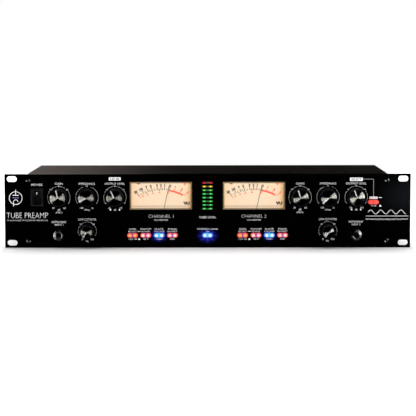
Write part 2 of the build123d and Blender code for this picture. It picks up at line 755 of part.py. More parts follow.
def jack_nut(x, z, face, outward):
    """A round nut, bevelled and slotted, on the outer side of a wall."""
    low, high = sorted((face, face + outward * JACK_NUT_THICK))
    shape = rod(x, z, low, high, JACK_NUT_R)
    rim = shape.faces().sort_by(Axis.Y)[-1 if outward > 0 else 0]
    shape = chamfer(rim.edges(), JACK_NUT_EDGE)
    shape -= rod(x, z, low - PAST, high + PAST, JACK_BUSHING_R + THREAD_GAP)
    slot_floor = face + outward * (JACK_NUT_THICK - JACK_NUT_SLOT_DEPTH)
    slot = sorted((slot_floor, slot_floor + 2 * outward * JACK_NUT_SLOT_DEPTH))
    across, wide = 2 * JACK_NUT_R + 2 * PAST, JACK_NUT_SLOT_W
    return shape - [plate(x, z, across, wide, *slot), plate(x, z, wide, across, *slot)]


def front_jack_places():
    return [(sx * JACK_X, JACK_Z) for sx in (-1, 1)]


def xlr_shell(x, core_r):
    """A flanged chassis connector: a round cavity with a solid core of the given radius in it."""
    rear = INLET_FACE
    flange = plate(x, 0, XLR_FLANGE_W, XLR_FLANGE_H, CASE_REAR, rear)
    flange = fillet(flange.edges().filter_by(Axis.Y), XLR_CORNER_R)
    floor = CASE_REAR - XLR_CAVITY_DEPTH
    shape = flange + rod(x, 0, CASE_REAR - XLR_DEPTH, CASE_REAR, XLR_BODY_R)
    shape -= rod(x, 0, floor, rear + PAST, XLR_CAVITY_R)
    if core_r:
        shape += rod(x, 0, floor, CASE_REAR + XLR_CORE_PROUD, core_r)
    places = [(x + s * XLR_SCREW_X, s * XLR_SCREW_Z) for s in (-1, 1)]
    return shape - [rod(hx, hz, CASE_REAR - PAST, rear + PAST, M3_HOLE) for hx, hz in places]


def contact_places(x, lead):
    """Three contacts a third of a turn apart on the pin circle, with the first one at the angle lead."""
    angles = [math.radians(lead + 120.0 * turn) for turn in range(3)]
    return [(x + XLR_PIN_CIRCLE * math.cos(a), XLR_PIN_CIRCLE * math.sin(a)) for a in angles]


def input_socket(x):
    rear = INLET_FACE + PAST
    floor = CASE_REAR - XLR_CAVITY_DEPTH
    shape = xlr_shell(x, XLR_CORE_R)
    half, inner = KEYWAY_HALF, CASE_REAR - KEYWAY_DEPTH
    shape += block(x - half, x + half, inner, CASE_REAR, KEYWAY_LOW, KEYWAY_HIGH)
    shape -= rod(x, 0, floor, rear, XLR_CAVITY_R) - rod(x, 0, floor - PAST, rear + PAST, XLR_CORE_R)
    shape -= plate(x, LATCH_Z, LATCH_SLOT_W, LATCH_SLOT_H, CASE_REAR - LATCH_SLOT_DEPTH, rear)
    deepest = CASE_REAR - XLR_CONTACT_DEPTH
    return shape - [rod(cx, cz, deepest, rear, XLR_CONTACT_R) for cx, cz in contact_places(x, 90)]


def input_latch(x):
    tab = plate(x, LATCH_Z, LATCH_W, LATCH_H, CASE_REAR - LATCH_BACK, CASE_REAR + LATCH_PROUD)
    return fillet(tab.faces().sort_by(Axis.Y)[-1].edges(), LATCH_EDGE)


def output_pins():
    pins = []
    for x in OUTPUT_XS:
        for cx, cz in contact_places(x, 270):
            pin = rod(cx, cz, CASE_REAR - XLR_PIN_BACK, CASE_REAR + XLR_PIN_TIP, XLR_PIN_R)
            pins.append(fillet(pin.edges().group_by(Axis.Y)[-1], XLR_PIN_EDGE))
    return pins


def output_socket(x):
    holes = [
        rod(cx, cz, CASE_REAR - XLR_PIN_BACK, CASE_REAR, XLR_PIN_R) for cx, cz in contact_places(x, 270)
    ]
    return xlr_shell(x, 0) - holes


def inlet_pin_places():
    return ((INLET_X - BLADE_X, BLADE_LOW_Z), (INLET_X, BLADE_HIGH_Z), (INLET_X + BLADE_X, BLADE_LOW_Z))


def inlet_body():
    face, x = INLET_FACE, INLET_X
    back = CASE_REAR - INLET_DEPTH
    flange = plate(x, 0, INLET_FLANGE_W, INLET_FLANGE_H, CASE_REAR, face)
    flange = fillet(flange.edges().filter_by(Axis.Y), INLET_CORNER_R)
    shape = flange + plate(x, 0, INLET_BODY_W, INLET_BODY_H, back, CASE_REAR)
    shape += plate(x, SHROUD_Z, SHROUD_W, SHROUD_H, face, face + SHROUD_PROUD)
    w, h = SHROUD_W - 2 * SHROUD_WALL, SHROUD_H - 2 * SHROUD_WALL
    shape -= plate(x, SHROUD_Z, w, h, CASE_REAR - SOCKET_DEPTH, face + SHROUD_PROUD + PAST)
    w, h = DRAWER_W + DRAWER_GAP, DRAWER_H + DRAWER_GAP
    shape -= plate(x, DRAWER_Z, w, h, CASE_REAR - DRAWER_DEPTH - PAST, face + PAST)
    blades = [plate(bx, bz, BLADE_W, BLADE_H, back - PAST, CASE_REAR) for bx, bz in inlet_pin_places()]
    screws = [rod(x + s * INLET_SCREW_X, 0, CASE_REAR - PAST, face + PAST, M3_HOLE) for s in (-1, 1)]
    return shape - blades - screws


def inlet_pins():
    pins = []
    for x, z in inlet_pin_places():
        pin = plate(x, z, BLADE_W, BLADE_H, CASE_REAR - XLR_PIN_BACK, CASE_REAR + XLR_PIN_TIP)
        pins.append(chamfer(pin.faces().sort_by(Axis.Y)[-1].edges(), BLADE_EDGE))
    return pins


def fuse_drawer():
    x, z, face = INLET_X, DRAWER_Z, INLET_FACE
    shape = plate(x, z, DRAWER_W, DRAWER_H, CASE_REAR - DRAWER_DEPTH, face + DRAWER_PROUD)
    shape = fillet(shape.faces().sort_by(Axis.Y)[-1].edges(), DRAWER_EDGE)
    low, high, above = CASE_REAR - TROUGH_FROM, CASE_REAR - TROUGH_TO, z + DRAWER_H
    shape -= block(x - TROUGH_HALF, x + TROUGH_HALF, low, high, z - TROUGH_BELOW, above)
    return shape - block(x - GRIP_HALF, x + GRIP_HALF, face, face + 2 * DRAWER_PROUD, z + GRIP_RISE, above)


def fuse():
    z = DRAWER_Z + FUSE_RISE
    inner, outer = FUSE_HALF - FUSE_CAP, FUSE_HALF
    shape = side_rod(INLET_X - inner, INLET_X + inner, FUSE_Y, z, FUSE_GLASS_R)
    shape += side_rod(INLET_X - outer, INLET_X - inner, FUSE_Y, z, FUSE_CAP_R)
    return shape + side_rod(INLET_X + inner, INLET_X + outer, FUSE_Y, z, FUSE_CAP_R)


def control_board():
    """One board behind the front wall: a low strip, a middle tongue and two wings beside the meters."""
    y0, y1 = CONTROL_FRONT, CONTROL_FRONT + BOARD
    shape = block(BOARD_LEFT, BOARD_RIGHT, y0, y1, BOARD_BOTTOM, CAVITY_LOW - METER_WALL - PAST)
    shape += block(-TONGUE_HALF, TONGUE_HALF, y0, y1, WING_BOTTOM, BOARD_TOP)
    shape += block(BOARD_LEFT, -WING_INNER, y0, y1, WING_BOTTOM, BOARD_TOP)
    shape += block(WING_INNER, BOARD_RIGHT, y0, y1, WING_BOTTOM, BOARD_TOP)
    size = JACK_CUTOUT
    return shape - [plate(x, z, size, size, y0 - PAST, y1 + PAST) for x, z in front_jack_places()]


def main_board():
    shape = block(MAIN_LEFT, MAIN_RIGHT, MAIN_FRONT_Y, MAIN_REAR_Y, MAIN_LOW, MAIN_TOP)
    return shape - [post(x, y, MAIN_LOW - PAST, MAIN_TOP + PAST, M3_CLEAR) for x, y in MAIN_SCREWS]


def board_standoffs():
    outline = RegularPolygon(STANDOFF_FLATS / 2, 6, major_radius=False)
    posts = []
    for x, y in MAIN_SCREWS:
        pillar = Pos(x, y, FLOOR) * extrude(outline, STANDOFF)
        posts.append(pillar - post(x, y, FLOOR + STANDOFF_FLOOR, MAIN_LOW + PAST, M3_HOLE))
    return posts


def tube_socket(x):
    top = MAIN_TOP + TUBE_SOCKET_H
    return post(x, TUBE_Y, MAIN_TOP, top, TUBE_SOCKET_R) - post(x, TUBE_Y, TUBE_LOW, top + PAST, TUBE_WELL_R)


def tube_glass(x):
    low, high = TUBE_LOW, TUBE_LOW + TUBE_H
    outer = post(x, TUBE_Y, low, high, TUBE_R)
    outer = fillet(outer.edges().group_by(Axis.Z)[-1], TUBE_SHOULDER_R)
    inner = post(x, TUBE_Y, low + TUBE_BASE, high - TUBE_TOP_WALL, TUBE_R - TUBE_WALL)
    inner = fillet(inner.edges().group_by(Axis.Z)[-1], TUBE_INNER_SHOULDER_R)
    return outer + post(x, TUBE_Y, low + TIP_LOW, low + TIP_HIGH, TIP_R) - inner


def tube_electrodes(x):
    low = ELECTRODE_LOW
    shape = post(x, TUBE_Y, low + ANODE_FROM, low + ANODE_TO, ANODE_R)
    for z in MICA_ZS:
        shape += post(x, TUBE_Y, low + z, low + z + MICA_THICK, MICA_R)
    return shape + post(x, TUBE_Y, low, low + ANODE_FROM, STALK_R)


def transformer_core():
    x, y, half_y = TRANSFORMER_X, TRANSFORMER_Y, CORE_HALF_Y
    shape = block(x - CORE_HALF_X, x + CORE_HALF_X, y - half_y, y + half_y, FLOOR, FLOOR + CORE_H)
    low, high = FLOOR + CORE_WINDOW_LOW, FLOOR + CORE_WINDOW_HIGH
    for sx in (-1, 1):
        left, right = (x + sx * CORE_WINDOW_X + side * CORE_WINDOW_HALF for side in (-1, 1))
        shape -= block(left, right, y - half_y - PAST, y + half_y + PAST, low, high)
    return shape


def transformer_winding():
    x, y = TRANSFORMER_X, TRANSFORMER_Y
    low, high = FLOOR + CORE_WINDOW_LOW + COIL_GAP, FLOOR + CORE_WINDOW_HIGH - COIL_GAP
    shape = block(x - COIL_HALF_X, x + COIL_HALF_X, y - COIL_HALF_Y, y + COIL_HALF_Y, low, high)
    shape = fillet(shape.edges().filter_by(Axis.Z), COIL_CORNER_R)
    limb = block(x - LIMB_HALF_X, x + LIMB_HALF_X, y - LIMB_HALF_Y, y + LIMB_HALF_Y, FLOOR, high + PAST)
    return shape - limb


def transformer_clamp():
    x, y, top = TRANSFORMER_X, TRANSFORMER_Y, FLOOR + CORE_H
    front, rear = y - CLAMP_HALF_Y, y + CLAMP_HALF_Y
    foot = FLOOR + FOOT_H
    inner = CORE_HALF_X + CLAMP_GAP
    outer = inner + SHEET
    shape = block(x - outer, x + outer, front, rear, foot, top + SHEET)
    shape -= block(x - inner, x + inner, front - PAST, rear + PAST, FLOOR, top)
    for sx in (-1, 1):
        near, far = sorted((x + sx * FOOT_START, x + sx * FOOT_END))
        shape += block(near, far, front, rear, foot, foot + SHEET)
    return shape - [post(fx, fy, foot - PAST, foot + SHEET + PAST, M3_CLEAR) for fx, fy in transformer_feet()]


def filter_capacitors():
    cans = []
    for x, y in CAN_PLACES:
        can = post(x, y, MAIN_TOP, MAIN_TOP + CAN_H, CAN_R)
        cans.append(fillet(can.edges().group_by(Axis.Z)[-1], CAN_EDGE))
    return cans


def heat_sink():
    top = MAIN_TOP + SINK_H
    back = SINK_Y + SINK_BACK
    pitch = (SINK_LENGTH - FIN_THICK) / (FIN_COUNT - 1)
    shape = block(SINK_LEFT, SINK_LEFT + SINK_LENGTH, SINK_Y, back, MAIN_TOP, top)
    for fin in range(FIN_COUNT):
        x = SINK_LEFT + pitch * fin
        shape += block(x, x + FIN_THICK, back, SINK_Y + SINK_DEPTH, MAIN_TOP, top)
    return shape


def voltage_regulators():
    low, high = MAIN_TOP + REGULATOR_LOW, MAIN_TOP + REGULATOR_HIGH
    front, half = SINK_Y - REGULATOR_THICK, REGULATOR_HALF
    return [block(x - half, x + half, front, SINK_Y, low, high) for x in REGULATOR_XS]


def main():
    os.makedirs("parts", exist_ok=True)
    save("front_panel", front_panel())
    save("chassis_tray", chassis_tray())
    save("top_cover", top_cover())
    save("panel_screws", *panel_screws())
    save("cover_screws", *cover_screws())
    save("machine_screws", *machine_screws())
    save_knobs()
    save("potentiometers", *potentiometers())
    save("pot_nuts", *pot_nuts())
    save("power_switch_body", power_switch_body())
    save("power_rocker", power_rocker())
    for name, part in (
        ("meter_housings", meter_housing),
        ("meter_lenses", meter_lens),
        ("meter_dials", meter_dial),
        ("meter_movements", meter_movement),
    ):
        save(name, part(-1), part(1))
    save("left_meter_pointer", meter_pointer(-1))
    save("right_meter_pointer", meter_pointer(1))
    save("level_lamps", *level_lamps())
    for name, x, z in BUTTONS:
        save(name, push_button(x, z))
    save("button_switches", *button_switches())
    save("instrument_jacks", *[jack(x, z, FRONT, 1) for x, z in front_jack_places()])
    save("line_jacks", *[jack(x, 0, CASE_REAR, -1) for x in LINE_XS])
    nuts = [jack_nut(x, z, FRONT, -1) for x, z in front_jack_places()]
    save("jack_nuts", *nuts, *[jack_nut(x, 0, CASE_REAR, 1) for x in LINE_XS])
    save("input_sockets", *[input_socket(x) for x in INPUT_XS])
    for number, x in enumerate(INPUT_XS, 1):
        save(f"input_latch_{number}", input_latch(x))
    save("output_sockets", *[output_socket(x) for x in OUTPUT_XS])
    save("output_pins", *output_pins())
    save("inlet_body", inlet_body())
    save("inlet_pins", *inlet_pins())
    save("fuse_drawer", fuse_drawer())
    save("fuse", fuse())
    save("control_board", control_board())
    save("main_board", main_board())
    save("board_standoffs", *board_standoffs())
    save("tube_sockets", *[tube_socket(x) for x in TUBE_XS])
    save("tube_glass", *[tube_glass(x) for x in TUBE_XS])
    save("tube_electrodes", *[tube_electrodes(x) for x in TUBE_XS])
    save("transformer_core", transformer_core())
    save("transformer_winding", transformer_winding())
    save("transformer_clamp", transformer_clamp())
    save("filter_capacitors", *filter_capacitors())
    save("heat_sink", heat_sink())
    save("voltage_regulators", *voltage_regulators())


main()
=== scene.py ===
import json
import math

import bmesh
import bpy
from mathutils import Matrix, Quaternion, Vector


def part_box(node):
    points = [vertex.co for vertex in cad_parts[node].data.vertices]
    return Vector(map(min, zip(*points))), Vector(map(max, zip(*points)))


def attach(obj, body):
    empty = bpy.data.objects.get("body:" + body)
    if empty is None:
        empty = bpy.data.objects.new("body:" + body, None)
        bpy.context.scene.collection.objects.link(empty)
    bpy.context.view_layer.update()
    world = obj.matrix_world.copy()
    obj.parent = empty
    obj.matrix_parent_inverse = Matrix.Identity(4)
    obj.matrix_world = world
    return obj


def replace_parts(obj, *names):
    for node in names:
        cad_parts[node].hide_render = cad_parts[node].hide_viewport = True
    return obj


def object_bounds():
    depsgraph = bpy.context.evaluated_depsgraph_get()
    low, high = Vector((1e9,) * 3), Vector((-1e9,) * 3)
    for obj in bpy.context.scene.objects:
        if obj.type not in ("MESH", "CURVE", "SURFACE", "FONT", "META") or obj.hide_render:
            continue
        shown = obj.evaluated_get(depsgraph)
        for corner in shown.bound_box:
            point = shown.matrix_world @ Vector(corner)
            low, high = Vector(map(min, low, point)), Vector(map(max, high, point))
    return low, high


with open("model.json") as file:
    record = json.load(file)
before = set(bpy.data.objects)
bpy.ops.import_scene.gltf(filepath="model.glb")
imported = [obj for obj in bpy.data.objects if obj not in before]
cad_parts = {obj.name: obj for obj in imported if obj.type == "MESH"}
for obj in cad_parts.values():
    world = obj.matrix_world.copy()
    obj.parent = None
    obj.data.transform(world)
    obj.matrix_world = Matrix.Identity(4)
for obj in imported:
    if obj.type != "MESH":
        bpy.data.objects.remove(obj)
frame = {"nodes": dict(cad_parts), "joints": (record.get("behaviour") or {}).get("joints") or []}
CAD_BOX = [list(corner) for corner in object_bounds()]

# Pieces are drawn in millimetres and scaled. Shaders and the stage are in metres.
MM = 0.001
ROOT = "chassis"
SIDES = (("left", -1), ("right", 1))
JOINTS = {joint["child"]: joint for joint in frame["joints"]}


def box_mm(node):
    """Lowest and highest corners of a CAD node's box, in millimetres."""
    return [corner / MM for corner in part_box(node)]


def centre(node):
    low, high = box_mm(node)
    return (low + high) / 2


FACE_Y = box_mm("front_panel")[0].y
REAR_Y = box_mm("top_cover")[1].y


def rest_angle(body):
    """A knob's pointer angle at rest, clockwise from the top, from the middle of its joint's range."""
    low, high = JOINTS[body]["range_deg"]
    return -(low + high) / 2


# -------- kinds of finish

BROAD_TO_FINE = 30
LAMP_SQUEEZE = (1.0, 0.0, 1.8)
LAMP_REACH = (0.0005, 0.0022)
BUTTON_LAMP_X = 3.1
BUTTON_LAMP_Y = -1.4
BETWEEN_REACH = (0.0006, 0.0019)
SPOT_REACH = (0.0010, 0.0026)
DIAL_HALF = 36.6
# Painted shade: the dial's colour darkens towards both ends, most at the right end, where the light from
# behind falls off.
DIAL_LEFT_END_SHADE = (0.98, 0.62, 0.30)
DIAL_RIGHT_END_SHADE = (0.50, 0.25, 0.07)
DIAL_COLOURS_AND_END_SHADE = (
    (0.05, (0.97, 0.64, 0.36)), (0.12, (0.97, 0.70, 0.46)), (0.45, (0.98, 0.735, 0.51)),
    (0.86, (0.98, 0.72, 0.48)), (0.94, (0.95, 0.62, 0.34)), (0.965, (0.72, 0.37, 0.10)),
)


class Finish:
    """A node material while it is put together."""

    def __init__(self, name, sockets=()):
        self.material = bpy.data.materials.new(name)
        self.material.use_nodes = True
        self.nodes = self.material.node_tree.nodes
        self.shader = self.nodes["Principled BSDF"]
        self.feed(self.shader, sockets)

    def feed(self, node, sockets):
        """Sets a node's input sockets to values, or links them to other nodes' outputs."""
        for key, value in dict(sockets).items():
            if isinstance(value, bpy.types.NodeSocket):
                self.material.node_tree.links.new(value, node.inputs[key])
            else:
                node.inputs[key].default_value = value

    def shade(self, sockets):
        """Feeds the main shader and gives back the finished material."""
        self.feed(self.shader, sockets)
        return self.material

    def add(self, kind, sockets=(), **settings):
        node = self.nodes.new("ShaderNode" + kind)
        for name, value in settings.items():
            setattr(node, name, value)
        self.feed(node, sockets)
        return node

    def position(self, stretch=None):
        """Object coordinates, stretched if wanted."""
        place = self.add("TexCoord").outputs["Object"]
        if stretch:
            place = self.add("Mapping", {"Vector": place, "Scale": stretch}).outputs["Vector"]
        return place

    def axes(self, vector=None):
        return self.add("SeparateXYZ", {"Vector": vector or self.position()}).outputs

    def noise(self, scale, stretch=None, detail=3.0):
        sockets = {"Vector": self.position(stretch), "Scale": scale, "Detail": detail, "Roughness": 0.6}
        return self.add("TexNoise", sockets).outputs["Fac"]

    def spread(self, value, low, high, start=0.3, stop=0.7, way="LINEAR"):
        """value, mapped from start..stop to low..high."""
        sockets = {"Value": value, "From Min": start, "From Max": stop, "To Min": low, "To Max": high}
        return self.add("MapRange", sockets, interpolation_type=way).outputs["Result"]

    def ramp(self, factor, first, second):
        node = self.add("ValToRGB", {"Fac": factor})
        for element, colour in zip(node.color_ramp.elements, (first, second)):
            element.color = (*colour, 1)
        return node

    def blend(self, factor, first, second):
        return self.ramp(factor, first, second).outputs["Color"]

    def maths(self, operation, *values):
        return self.add("Math", dict(enumerate(values)), operation=operation).outputs["Value"]

    def vector(self, operation, *values):
        return self.add("VectorMath", dict(enumerate(values)), operation=operation).outputs["Vector"]

    def measure(self, operation, *values):
        return self.add("VectorMath", dict(enumerate(values)), operation=operation).outputs["Value"]


def dimmed(colour, share):
    return (*(share * part for part in colour), 1)


def grained(name, dark, light, roughness, grain=900.0, bump=0.15, depth=0.00005, stretch=None, **sockets):
    """A finish with colour variation, uneven roughness and a fine grain. roughness is (low, high)."""
    finish = Finish(name, {key.replace("_", " "): value for key, value in sockets.items()})
    broad = finish.noise(grain / BROAD_TO_FINE, stretch)
    fine = finish.noise(grain, stretch, detail=4.0)
    relief = finish.add("Bump", {"Strength": bump, "Distance": depth, "Height": fine})
    finish.shade({
        "Base Color": finish.blend(finish.spread(broad, 0, 1), dark, light),
        "Roughness": finish.spread(broad, *roughness),
        "Normal": relief.outputs["Normal"],
    })
    return finish


def surface(name, *looks, **options):
    """The material of a grained finish."""
    return grained(name, *looks, **options).material


def glow(name, colour, strength, base, roughness):
    """A lit translucent moulding, a little uneven across its face."""
    finish = Finish(name, {"Base Color": (*base, 1), "Roughness": roughness, "Emission Color": (*colour, 1)})
    level = finish.spread(finish.noise(600.0), strength * 0.8, strength * 1.15)
    return finish.shade({"Emission Strength": level})


def lamp_glow(name, edge, middle, strength):
    """A small lamp behind a rectangular lens: bright at its middle and deeper in colour at its ends."""
    finish = Finish(name, {"Base Color": dimmed(edge, 0.3), "Roughness": 0.3})
    reach = finish.measure("LENGTH", finish.vector("MULTIPLY", finish.position(), LAMP_SQUEEZE))
    wobble = finish.maths("MULTIPLY_ADD", finish.noise(900.0), 0.0006, reach)
    near = finish.spread(wobble, 1, 0, *LAMP_REACH)
    return finish.shade({
        "Emission Color": finish.blend(near, edge, middle),
        "Emission Strength": finish.spread(near, strength * 0.12, strength, 0, 1),
    })


def button_glow(name, edge, between, spots, strength):
    """Light of two small lamps behind a milky pill: a bright spot before each, and another colour between."""
    finish = Finish(name, {"Base Color": dimmed(edge, 0.35), "Roughness": 0.28})
    aside = finish.maths("ABSOLUTE", finish.axes()["X"])
    colour = finish.blend(finish.spread(aside, 0, 1, *BETWEEN_REACH), between, edge)
    for (_, sign), spot in zip(SIDES, spots):
        lamp = (sign * BUTTON_LAMP_X * MM, BUTTON_LAMP_Y * MM, 0)
        distance = finish.measure("DISTANCE", finish.position(), lamp)
        near = finish.spread(distance, 1, 0, *SPOT_REACH, way="SMOOTHSTEP")
        colour = finish.add("MixRGB", {"Fac": near, "Color1": colour, "Color2": (*spot, 1)}).outputs["Color"]
    level = finish.spread(finish.noise(700.0), strength * 0.9, strength * 1.1)
    return finish.shade({"Emission Color": colour, "Emission Strength": level})


def spun_metal(name):
    """Metal with fine circles turned in it: its gloss is drawn out across the circles."""
    finish = Finish(name, {"Base Color": (0.80, 0.79, 0.73, 1), "Metallic": 1.0, "Anisotropic": 1.0,
                           "Anisotropic Rotation": 0.25})
    return finish.shade({
        "Tangent": finish.add("Tangent", direction_type="RADIAL", axis="Y").outputs["Tangent"],
        "Roughness": finish.spread(finish.noise(700.0), 0.272, 0.278),
    })


def dial_card(name, level):
    """Cream card lit from behind: pale in the middle, with painted shade at its ends, warmer at its left end
    and a darker amber at its right end, where the light from behind falls off.
    """
    finish = Finish(name, {"Base Color": (0.20, 0.15, 0.10, 1), "Roughness": 0.85, "Specular IOR Level": 0.1,
                           "Emission Strength": level})
    across = finish.spread(finish.axes()["X"], 0, 1, -DIAL_HALF * MM, DIAL_HALF * MM)
    fibres = finish.maths("MULTIPLY_ADD", finish.noise(1500.0), 0.02, across)
    ramp = finish.ramp(fibres, DIAL_LEFT_END_SHADE, DIAL_RIGHT_END_SHADE)
    for place, colour in DIAL_COLOURS_AND_END_SHADE:
        ramp.color_ramp.elements.new(place).color = (*colour, 1)
    return finish.shade({"Emission Color": ramp.outputs["Color"]})


def clear_window(name, roughness, opacity):
    """Thin clear plastic: mostly see-through, with a faint uneven gloss."""
    finish = Finish(name, {"Base Color": (1.0, 0.97, 0.9, 1), "IOR": 1.45, "Alpha": opacity})
    return finish.shade({"Roughness": finish.spread(finish.noise(120.0), roughness, roughness * 2)})


# -------- finishes

INK = {"grain": 1500.0, "bump": 0.05}
WHITE_INK = surface("white_ink", (0.80, 0.80, 0.82), (0.92, 0.92, 0.93), (0.5, 0.65), **INK)
GREY_INK = surface("grey_ink", (0.20, 0.20, 0.21), (0.28, 0.28, 0.29), (0.5, 0.65), **INK)
VIOLET_INK = surface("violet_ink", (0.32, 0.24, 0.62), (0.40, 0.30, 0.72), (0.5, 0.65), **INK)
BLACK_INK = surface("black_ink", (0.012, 0.01, 0.01), (0.03, 0.022, 0.02), (0.6, 0.8), **INK)

PANEL_PAINT = surface("panel_enamel", (0.0002, 0.0002, 0.0002), (0.0004, 0.0004, 0.0004), (0.09, 0.13),
                      grain=420.0, bump=0.02, depth=0.00001, Specular_IOR_Level=0.3)
CASE_PAINT = surface("case_powder_coat", (0.0024, 0.0018, 0.0016), (0.0040, 0.0031, 0.0027), (0.425, 0.455),
                     grain=1100.0, bump=0.35, depth=0.00008, Specular_IOR_Level=0.4)
BLACK_SCREW = surface("black_zinc", (0.16, 0.16, 0.17), (0.24, 0.24, 0.25), (0.14, 0.22), grain=1400.0,
                      bump=0.05, Metallic=1.0)
ZINC = surface("zinc_plate", (0.52, 0.52, 0.50), (0.66, 0.66, 0.63), (0.22, 0.38), grain=1200.0, Metallic=1.0)
KNOB_PLASTIC = surface("knob_plastic", (0.0025, 0.0025, 0.003), (0.005, 0.005, 0.0055), (0.3, 0.45),
                       grain=1500.0, bump=0.2, Specular_IOR_Level=0.2)
SWITCH_FRAME = surface("switch_frame", (0.0045, 0.0045, 0.0045), (0.008, 0.008, 0.008), (0.3, 0.42),
                       grain=1600.0, bump=0.2, Specular_IOR_Level=0.4)
MOULDING = surface("black_moulding", (0.0012, 0.0012, 0.0012), (0.0028, 0.0028, 0.0028), (0.25, 0.38),
                   grain=1600.0, bump=0.2, Specular_IOR_Level=0.4)
WHITE_MOULDING = surface("white_moulding", (0.75, 0.66, 0.50), (0.85, 0.76, 0.6), (0.5, 0.65), grain=1200.0)
NICKEL = surface("nickel_plate", (0.44, 0.44, 0.44), (0.58, 0.58, 0.58), (0.22, 0.32), bump=0.1, Metallic=1.0)
SILVER = surface("silver_contact", (0.62, 0.61, 0.57), (0.75, 0.74, 0.7), (0.2, 0.35), grain=1200.0,
                 Metallic=1.0)
DIE_CAST = surface("black_die_cast", (0.010, 0.010, 0.011), (0.022, 0.022, 0.023), (0.35, 0.5), grain=1200.0,
                   Metallic=0.6)
POT_STEEL = surface("pot_steel", (0.4, 0.4, 0.38), (0.52, 0.52, 0.5), (0.3, 0.45), Metallic=1.0)
BRASS = surface("brass", (0.6, 0.42, 0.16), (0.72, 0.52, 0.22), (0.25, 0.4), Metallic=1.0)
NEEDLE = surface("needle_paint", (0.045, 0.028, 0.015), (0.07, 0.045, 0.025), (0.4, 0.6))
BOARD = surface("solder_mask", (0.006, 0.06, 0.022), (0.012, 0.10, 0.04), (0.3, 0.5), grain=300.0)
CERAMIC = surface("socket_ceramic", (0.7, 0.68, 0.62), (0.82, 0.8, 0.74), (0.35, 0.5), grain=700.0)
ELECTRODE = surface("electrode_metal", (0.10, 0.10, 0.11), (0.2, 0.2, 0.21), (0.4, 0.6), grain=700.0,
                    Metallic=0.8)
CORE = surface("laminations", (0.04, 0.04, 0.045), (0.09, 0.09, 0.1), (0.4, 0.6), grain=500.0, Metallic=0.7,
               stretch=(1, 8, 1))
WRAP = surface("winding_wrap", (0.55, 0.36, 0.05), (0.68, 0.48, 0.10), (0.4, 0.6), grain=600.0,
               stretch=(1, 1, 6))
CAN = surface("capacitor_sleeve", (0.008, 0.012, 0.05), (0.014, 0.02, 0.08), (0.25, 0.4), grain=500.0)
ANODISED = surface("black_anodised", (0.01, 0.01, 0.011), (0.02, 0.02, 0.022), (0.35, 0.5), Metallic=0.7)
SPUN = spun_metal("spun_disc")

DIAL = dial_card("lit_dial_card", 0.76)
LEDGE = dial_card("lit_dial_ledge", 0.62)
LEDGE_SHADE = glow("dial_ledge_shade", (0.66, 0.45, 0.26), 0.52, (0.16, 0.12, 0.08), 0.85)
RED_LIT_INK = glow("lit_red_ink", (0.93, 0.07, 0.02), 0.95, (0.3, 0.02, 0.01), 0.7)
WINDOW = clear_window("clear_window", 0.05, 0.04)
# Painted shade: the window's clear bevel is coloured dark brown so that it reads darker.
WINDOW_EDGE_SHADE = surface("window_bevel_painted_shade", (0.10, 0.075, 0.045), (0.17, 0.13, 0.085), (0.1, 0.2), grain=200.0,
                      bump=0.02, Alpha=0.72)
GLASS = clear_window("blown_glass", 0.03, 0.15)

LAMP_RED = lamp_glow("lamp_red", (0.45, 0.012, 0.02), (0.85, 0.03, 0.05), 1.3)
LAMP_YELLOW = lamp_glow("lamp_yellow", (0.50, 0.36, 0.03), (0.98, 0.85, 0.12), 1.7)
LAMP_GREEN = lamp_glow("lamp_green", (0.010, 0.32, 0.05), (0.15, 0.90, 0.14), 1.8)
LADDER_FINISHES = (LAMP_RED, LAMP_YELLOW) + (LAMP_GREEN,) * 6

WARM, PALE, PINK, ICE = (1.0, 0.50, 0.12), (1.0, 0.85, 0.72), (1.0, 0.74, 0.72), (0.80, 1.0, 1.0)
RED_EDGE, VIOLET, RED_SPOT = (0.75, 0.035, 0.05), (0.16, 0.045, 0.30), (0.95, 0.14, 0.10)
BUTTON_BLUE = button_glow("button_blue", (0.05, 0.16, 0.75), (0.0, 0.50, 0.85), (ICE, ICE), 1.15)
BUTTON_FINISHES = {
    "boost": button_glow("button_red_warm", RED_EDGE, VIOLET, (WARM, WARM), 1.0),
    "phantom": button_glow("button_red_pink", RED_EDGE, VIOLET, (PALE, PINK), 1.0),
    "plate": BUTTON_BLUE,
    "phase": button_glow("button_red_pale", RED_EDGE, VIOLET, (PINK, PALE), 1.0),
    "link": BUTTON_BLUE,
    "select": button_glow("button_red", (0.72, 0.04, 0.03), (0.72, 0.05, 0.04), (RED_SPOT, RED_SPOT), 1.0),
}


# -------- mesh helpers

FACING_FRONT = Matrix.Rotation(math.radians(90), 4, "X")
FACING_REAR = Matrix.Rotation(math.radians(-90), 4, "X")
ON_AXIS = 1e-6
ARC_STEP = 6
DOT_STEPS = 20
CORNER_STEPS = 3
ROUND_STEPS = 48
FLAT_FACE = 0.95
LETTER_WEIGHT = -0.014
TITLE_WEIGHT = -0.026


def circle(radius, steps, start=0.0, sweep=360.0, closed=True):
    """Points (u, v) round a circle or along a part of one, anticlockwise from +u."""
    turns = [math.radians(start + sweep * step / steps) for step in range(steps if closed else steps + 1)]
    return [(radius * math.cos(turn), radius * math.sin(turn)) for turn in turns]


def new_object(name, data):
    thing = bpy.data.objects.new(name, data)
    bpy.context.scene.collection.objects.link(thing)
    return thing


def mesh_object(name, bm, material):
    """Turns a bmesh into an object in the scene."""
    mesh = bpy.data.meshes.new(name)
    bm.to_mesh(mesh)
    bm.free()
    mesh.materials.append(material)
    return new_object(name, mesh)


def finish_piece(name, bm, material, slot, body, smooth_angle=35.0, origin=(0, 0, 0)):
    """Makes a piece of the object from a bmesh in millimetres, with its own origin."""
    bmesh.ops.recalc_face_normals(bm, faces=bm.faces)
    bmesh.ops.scale(bm, vec=(MM, MM, MM), verts=bm.verts)
    piece = mesh_object(name, bm, material)
    piece.data.polygons.foreach_set("use_smooth", [True] * len(piece.data.polygons))
    piece.data.set_sharp_from_angle(angle=math.radians(smooth_angle))
    piece.location = Vector(origin) * MM
    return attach(piece, body)


